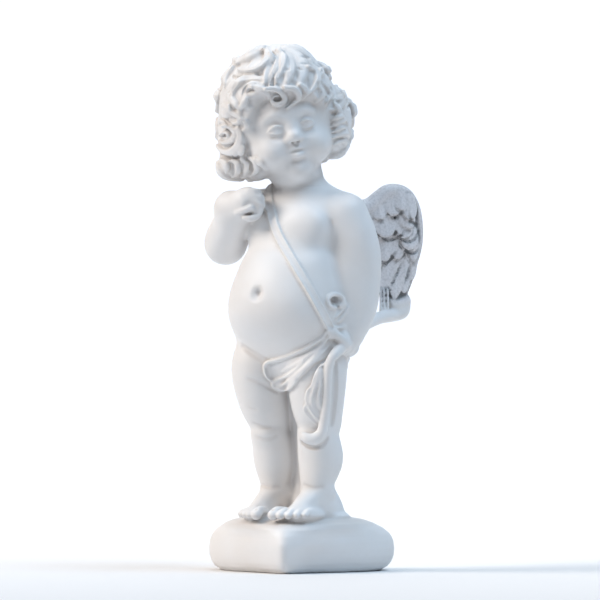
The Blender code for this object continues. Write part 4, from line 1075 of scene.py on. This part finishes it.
def skin(field):
    """The field's zero surface as quads (surface nets)."""
    d, n = field.d, field.n
    s = d < 0
    anyin = np.zeros(tuple(n - 1), bool)
    allin = np.ones(tuple(n - 1), bool)
    corners = [(i, j, k) for i in (0, 1) for j in (0, 1) for k in (0, 1)]
    for i, j, k in corners:
        c = s[i:n[0] - 1 + i, j:n[1] - 1 + j, k:n[2] - 1 + k]
        anyin |= c
        allin &= c
    cells = np.argwhere(anyin & ~allin)
    del anyin, allin
    values = np.stack([d[cells[:, 0] + i, cells[:, 1] + j, cells[:, 2] + k] for i, j, k in corners], 1).astype(float)
    total, count = np.zeros((len(cells), 3)), np.zeros(len(cells))
    cc = np.array(corners, float)
    for a in range(8):
        for b in range(a + 1, 8):
            if np.abs(cc[a] - cc[b]).sum() != 1:
                continue
            va, vb = values[:, a], values[:, b]
            m = (va < 0) != (vb < 0)
            t = np.where(m, va / np.where(m, va - vb, 1), 0)
            total[m] += (cc[a] + t[:, None] * (cc[b] - cc[a]))[m]
            count += m
    verts = field.lo + (cells + total / count[:, None]) * field.cell
    dims = n - 1
    ids = (cells[:, 0] * dims[1] + cells[:, 1]) * dims[2] + cells[:, 2]
    quads = []
    for axis in range(3):
        o1, o2 = [(1, 2), (2, 0), (0, 1)][axis]
        lo = [slice(None)] * 3
        hi = [slice(None)] * 3
        lo[axis], hi[axis] = slice(0, -1), slice(1, None)
        change = s[tuple(lo)] != s[tuple(hi)]
        e = np.argwhere(change)
        e = e[(e[:, o1] > 0) & (e[:, o2] > 0) & (e[:, o1] < n[o1] - 1) & (e[:, o2] < n[o2] - 1)]
        into = s[e[:, 0], e[:, 1], e[:, 2]]
        q = []
        for da, db in ((0, 0), (1, 0), (1, 1), (0, 1)):
            c = e.copy()
            c[:, o1] -= da
            c[:, o2] -= db
            q.append(np.searchsorted(ids, (c[:, 0] * dims[1] + c[:, 1]) * dims[2] + c[:, 2]))
        q = np.stack(q, 1)
        q[into] = q[into][:, ::-1]
        quads.append(q)
    return verts, np.vstack(quads)[:, ::-1]


def relax(verts, quads, rounds, amount):
    """Takes the grid's faint steps off the skin."""
    edges = np.vstack([quads[:, [0, 1]], quads[:, [1, 2]], quads[:, [2, 3]], quads[:, [3, 0]]])
    deg = np.bincount(edges.ravel(), minlength=len(verts)).astype(float)
    for _ in range(rounds):
        mean = np.zeros_like(verts)
        for c in range(3):
            mean[:, c] = np.bincount(edges[:, 0], verts[edges[:, 1], c], len(verts)) + np.bincount(edges[:, 1], verts[edges[:, 0], c], len(verts))
        verts = verts + amount * (mean / deg[:, None] - verts)
    return verts


field = build(CELL)
print("field", round(time.time() - START, 1))
verts, quads = skin(field)
flat = verts[:, 2] < 0.25
verts = relax(verts, quads, 2, 0.45)
verts[flat, 2] = 0.0
print("skin", len(verts), len(quads), round(time.time() - START, 1))

mesh = bpy.data.meshes.new("cupid_statue_cast")
mesh.vertices.add(len(verts))
placed = (verts - np.array([BOX_MIDDLE[0], BOX_MIDDLE[1], 0.0])) * UNIT
mesh.vertices.foreach_set("co", placed.astype(np.float32).ravel())
mesh.loops.add(len(quads) * 4)
mesh.polygons.add(len(quads))
mesh.loops.foreach_set("vertex_index", quads.astype(np.int32).ravel())
mesh.polygons.foreach_set("loop_start", np.arange(0, len(quads) * 4, 4, dtype=np.int32))
mesh.update(calc_edges=True)
mesh.validate()
statue = bpy.data.objects.new("cupid_statue_cast", mesh)
bpy.context.scene.collection.objects.link(statue)
wanted = 195000
if len(quads) * 2 > wanted:
    thin = statue.modifiers.new("thin", "DECIMATE")
    thin.ratio = wanted / (len(quads) * 2.0)
    thin.use_collapse_triangulate = True
    made = bpy.data.meshes.new_from_object(statue.evaluated_get(bpy.context.evaluated_depsgraph_get()))
    statue.modifiers.clear()
    statue.data = made
    made.name = "cupid_statue_cast"
mesh = statue.data
mesh.shade_smooth()
print("thinned", len(mesh.polygons), round(time.time() - START, 1))

# ---------------------------------------------------------------- how deep each point of the skin lies, kept for the finish: it darkens the hollows as dust and painted shade, and the wings' grime
co = np.empty(len(mesh.vertices) * 3, np.float32)
mesh.vertices.foreach_get("co", co)
co = co.reshape(-1, 3).astype(float) / UNIT + np.array([BOX_MIDDLE[0], BOX_MIDDLE[1], 0.0])
normals = field.normal(co, 1.0)
deep = np.zeros(len(co))
for reach, weight in ((2.5, 0.4), (5.0, 0.6)):
    deep += weight * np.clip(1.0 - field.sample(co + normals * reach) / reach, -0.5, 1.0)
side_root = np.where(co[:, 0] > 0, 1, -1)
out_u = (np.abs(co[:, 0]) - 20.0) * math.cos(WING_TURN) + (co[:, 1] - 35.0) * math.sin(WING_TURN)
lift = (np.abs(co[:, 0]) - 20.0) * math.sin(WING_TURN) - (co[:, 1] - 35.0) * math.cos(WING_TURN)
on_wing = step(out_u, 6, 16) * (1 - step(np.abs(lift), 11, 14)) * step(co[:, 2], 262, 274) * (1 - step(co[:, 2], 388, 392)) * (co[:, 1] > 30)
for name, values in (("depth_of_skin", deep), ("on_wing", on_wing)):
    layer = mesh.attributes.new(name, "FLOAT", "POINT")
    layer.data.foreach_set("value", values.astype(np.float32))

# ---------------------------------------------------------------- finish
def node(tree, kind, place, **values):
    made = tree.nodes.new(kind)
    made.location = place
    for key, value in values.items():
        setattr(made, key, value)
    return made


material = bpy.data.materials.new("white_cast")
material.use_nodes = True
tree = material.node_tree
shader = tree.nodes["Principled BSDF"]
link = tree.links.new
coord = node(tree, "ShaderNodeTexCoord", (-1400, 0))
depth = node(tree, "ShaderNodeAttribute", (-1400, -300), attribute_name="depth_of_skin")
wing = node(tree, "ShaderNodeAttribute", (-1400, -500), attribute_name="on_wing")

broad = node(tree, "ShaderNodeTexNoise", (-1100, 200))
broad.inputs["Scale"].default_value = 14.0
broad.inputs["Detail"].default_value = 4.0
link(coord.outputs["Object"], broad.inputs["Vector"])
fine = node(tree, "ShaderNodeTexNoise", (-1100, -100))
fine.inputs["Scale"].default_value = 260.0
fine.inputs["Detail"].default_value = 5.0
fine.inputs["Roughness"].default_value = 0.6
link(coord.outputs["Object"], fine.inputs["Vector"])
speck = node(tree, "ShaderNodeTexNoise", (-1100, -700))
speck.inputs["Scale"].default_value = 420.0
speck.inputs["Detail"].default_value = 3.0
link(coord.outputs["Object"], speck.inputs["Vector"])

tone = node(tree, "ShaderNodeMapRange", (-850, 200))
tone.inputs["From Min"].default_value = 0.35
tone.inputs["From Max"].default_value = 0.65
link(broad.outputs["Fac"], tone.inputs["Value"])
white = node(tree, "ShaderNodeMix", (-600, 200), data_type="RGBA")
white.inputs[6].default_value = (0.755, 0.745, 0.74, 1)
white.inputs[7].default_value = (0.785, 0.787, 0.795, 1)
link(tone.outputs["Result"], white.inputs[0])

# hollows darkened towards warm grey by their depth: partly dust, partly painted shade in creases and between the locks
hollow = node(tree, "ShaderNodeMapRange", (-850, -200))
hollow.inputs["From Min"].default_value = 0.12
hollow.inputs["From Max"].default_value = 0.75
link(depth.outputs["Fac"], hollow.inputs["Value"])
dust_and_shade = node(tree, "ShaderNodeMath", (-650, -200), operation="MULTIPLY")
dust_and_shade.inputs[1].default_value = 0.55
link(hollow.outputs["Result"], dust_and_shade.inputs[0])
soiled_and_shaded = node(tree, "ShaderNodeMix", (-400, 150), data_type="RGBA")
soiled_and_shaded.inputs[7].default_value = (0.50, 0.46, 0.43, 1)
link(dust_and_shade.outputs["Value"], soiled_and_shaded.inputs[0])
link(white.outputs[2], soiled_and_shaded.inputs[6])

# wings: greyer all over, with dark grime caught between the feathers
grime_noise = node(tree, "ShaderNodeMapRange", (-850, -700))
grime_noise.inputs["From Min"].default_value = 0.42
grime_noise.inputs["From Max"].default_value = 0.66
link(speck.outputs["Fac"], grime_noise.inputs["Value"])
caught = node(tree, "ShaderNodeMapRange", (-850, -450))
caught.inputs["From Min"].default_value = 0.05
caught.inputs["From Max"].default_value = 0.5
link(depth.outputs["Fac"], caught.inputs["Value"])
both = node(tree, "ShaderNodeMath", (-650, -500), operation="MULTIPLY")
link(grime_noise.outputs["Result"], both.inputs[0])
both.inputs[1].default_value = 0.20
plus = node(tree, "ShaderNodeMath", (-480, -450), operation="ADD", use_clamp=True)
link(caught.outputs["Result"], plus.inputs[0])
link(both.outputs["Value"], plus.inputs[1])
grey = node(tree, "ShaderNodeMix", (-300, -350), data_type="RGBA")
grey.inputs[6].default_value = (0.75, 0.73, 0.745, 1)
grey.inputs[7].default_value = (0.20, 0.20, 0.205, 1)
link(plus.outputs["Value"], grey.inputs[0])
colour = node(tree, "ShaderNodeMix", (-100, 100), data_type="RGBA")
link(wing.outputs["Fac"], colour.inputs[0])
link(soiled_and_shaded.outputs[2], colour.inputs[6])
link(grey.outputs[2], colour.inputs[7])
link(colour.outputs[2], shader.inputs["Base Color"])

gloss = node(tree, "ShaderNodeMapRange", (-300, -100))
gloss.inputs["From Min"].default_value = 0.3
gloss.inputs["From Max"].default_value = 0.7
gloss.inputs["To Min"].default_value = 0.40
gloss.inputs["To Max"].default_value = 0.56
link(fine.outputs["Fac"], gloss.inputs["Value"])
rough = node(tree, "ShaderNodeMath", (-100, -100), operation="ADD", use_clamp=True)
more = node(tree, "ShaderNodeMath", (-300, -250), operation="MULTIPLY")
link(wing.outputs["Fac"], more.inputs[0])
more.inputs[1].default_value = 0.25
link(gloss.outputs["Result"], rough.inputs[0])
link(more.outputs["Value"], rough.inputs[1])
link(rough.outputs["Value"], shader.inputs["Roughness"])

strength = node(tree, "ShaderNodeMapRange", (-300, -600))
strength.inputs["To Min"].default_value = 0.10
strength.inputs["To Max"].default_value = 0.55
link(wing.outputs["Fac"], strength.inputs["Value"])
bump = node(tree, "ShaderNodeBump", (-100, -500))
bump.inputs["Distance"].default_value = 0.0006
link(strength.outputs["Result"], bump.inputs["Strength"])
link(fine.outputs["Fac"], bump.inputs["Height"])
link(bump.outputs["Normal"], shader.inputs["Normal"])
shader.inputs["Specular IOR Level"].default_value = 0.42
shader.inputs["IOR"].default_value = 1.47
mesh.materials.clear()
mesh.materials.append(material)

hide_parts("cupid_statue")
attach(statue, "root")

# ---------------------------------------------------------------- floor
bpy.ops.mesh.primitive_plane_add(size=14.0, location=(0, 0, -0.0005))
floor = bpy.context.object
floor.name = "floor"
paint = bpy.data.materials.new("pale_floor")
paint.use_nodes = True
paint.node_tree.nodes["Principled BSDF"].inputs["Base Color"].default_value = (0.74, 0.735, 0.735, 1)
paint.node_tree.nodes["Principled BSDF"].inputs["Roughness"].default_value = 0.9
floor.data.materials.append(paint)

# ---------------------------------------------------------------- light: a bright soft room, darker on the reader's side
bpy.context.scene.view_settings.view_transform = "Standard"
world = bpy.data.worlds.new("studio")
bpy.context.scene.world = world
world.use_nodes = True
sky = world.node_tree
glow = sky.nodes["Background"]
way = node(sky, "ShaderNodeTexCoord", (-1000, 0))
behind = node(sky, "ShaderNodeVectorMath", (-800, 100), operation="DOT_PRODUCT")
behind.inputs[1].default_value = tuple(-TOWARD)
sideways = node(sky, "ShaderNodeVectorMath", (-800, -100), operation="DOT_PRODUCT")
sideways.inputs[1].default_value = tuple(ACROSS)
height = node(sky, "ShaderNodeVectorMath", (-800, -300), operation="DOT_PRODUCT")
height.inputs[1].default_value = (0, 0, 1)
for dot in (behind, sideways, height):
    sky.links.new(way.outputs["Generated"], dot.inputs[0])
room = node(sky, "ShaderNodeMapRange", (-600, 100), interpolation_type="SMOOTHSTEP")
room.inputs["From Min"].default_value = 0.80
room.inputs["From Max"].default_value = 0.97
room.inputs["To Min"].default_value = 0.05
room.inputs["To Max"].default_value = 1.2
sky.links.new(behind.outputs["Value"], room.inputs["Value"])
ceiling = node(sky, "ShaderNodeMapRange", (-600, -300))
ceiling.inputs["From Min"].default_value = 0.15
ceiling.inputs["From Max"].default_value = 1.0
ceiling.inputs["To Max"].default_value = 0.36
sky.links.new(height.outputs["Value"], ceiling.inputs["Value"])
total = node(sky, "ShaderNodeMath", (-400, 0), operation="ADD")
sky.links.new(room.outputs["Result"], total.inputs[0])
sky.links.new(ceiling.outputs["Result"], total.inputs[1])
sky.links.new(total.outputs["Value"], glow.inputs["Strength"])
warmth = node(sky, "ShaderNodeMapRange", (-600, -100))
warmth.inputs["From Min"].default_value = -0.9
warmth.inputs["From Max"].default_value = 0.9
sky.links.new(sideways.outputs["Value"], warmth.inputs["Value"])
tint = node(sky, "ShaderNodeValToRGB", (-400, -200))
tint.color_ramp.elements[0].color = (1.0, 0.90, 0.83, 1)
tint.color_ramp.elements[1].color = (0.70, 0.85, 1.0, 1)
middle = tint.color_ramp.elements.new(0.5)
middle.color = (0.86, 0.91, 1.0, 1)
sky.links.new(warmth.outputs["Result"], tint.inputs["Fac"])
sky.links.new(tint.outputs["Color"], glow.inputs["Color"])

shift = np.array([BOX_MIDDLE[0], BOX_MIDDLE[1], 0.0]) * UNIT


def lamp(name, across, up, toward, power, colour, soft):
    """A broad soft light from one side of the room."""
    data = bpy.data.lights.new(name, "SUN")
    data.energy = power
    data.color = colour
    data.angle = math.radians(soft)
    ob = bpy.data.objects.new(name, data)
    bpy.context.scene.collection.objects.link(ob)
    place = Vector(ACROSS * across + TOWARD * toward + UP * up)
    ob.location = place
    ob.rotation_euler = (-place).to_track_quat("-Z", "Y").to_euler()
    return ob


lamp("key", -0.79, 0.60, 0.19, 2.42, (1.0, 0.905, 0.82), 28)
lamp("cool_side", 0.46, 0.92, 0.28, 1.70, (0.56, 0.78, 1.0), 36)

# a wide soft box hung over the floor behind keeps the ground white up to the horizon
data = bpy.data.lights.new("floor_wash", "AREA")
data.shape = "RECTANGLE"
data.size, data.size_y = 13.0, 9.6
data.energy = 270.0
data.spread = math.radians(110)
wash = bpy.data.objects.new("floor_wash", data)
bpy.context.scene.collection.objects.link(wash)
wash.location = Vector(-TOWARD * 4.9 + UP * 2.4)
wash.rotation_euler = (0.0, 0.0, TURN)

# ---------------------------------------------------------------- camera: level, far off, a little above the middle
camera_data = bpy.data.cameras.new("camera")
camera = bpy.data.objects.new("camera", camera_data)
bpy.context.scene.collection.objects.link(camera)
DISTANCE = 8.0
ELEVATION = math.radians(0.4)
look = Vector(drawn(300, 300, 0) * UNIT - shift)
away = Vector(TOWARD * math.cos(ELEVATION) + UP * math.sin(ELEVATION))
camera.location = look + away * DISTANCE
camera.rotation_euler = (-away).to_track_quat("-Z", "Y").to_euler()
camera_data.sensor_width = 36.0
camera_data.sensor_fit = "HORIZONTAL"
camera_data.lens = 36.0 * DISTANCE / (600.0 * UNIT)
camera_data.clip_end = 50.0
bpy.context.scene.camera = camera
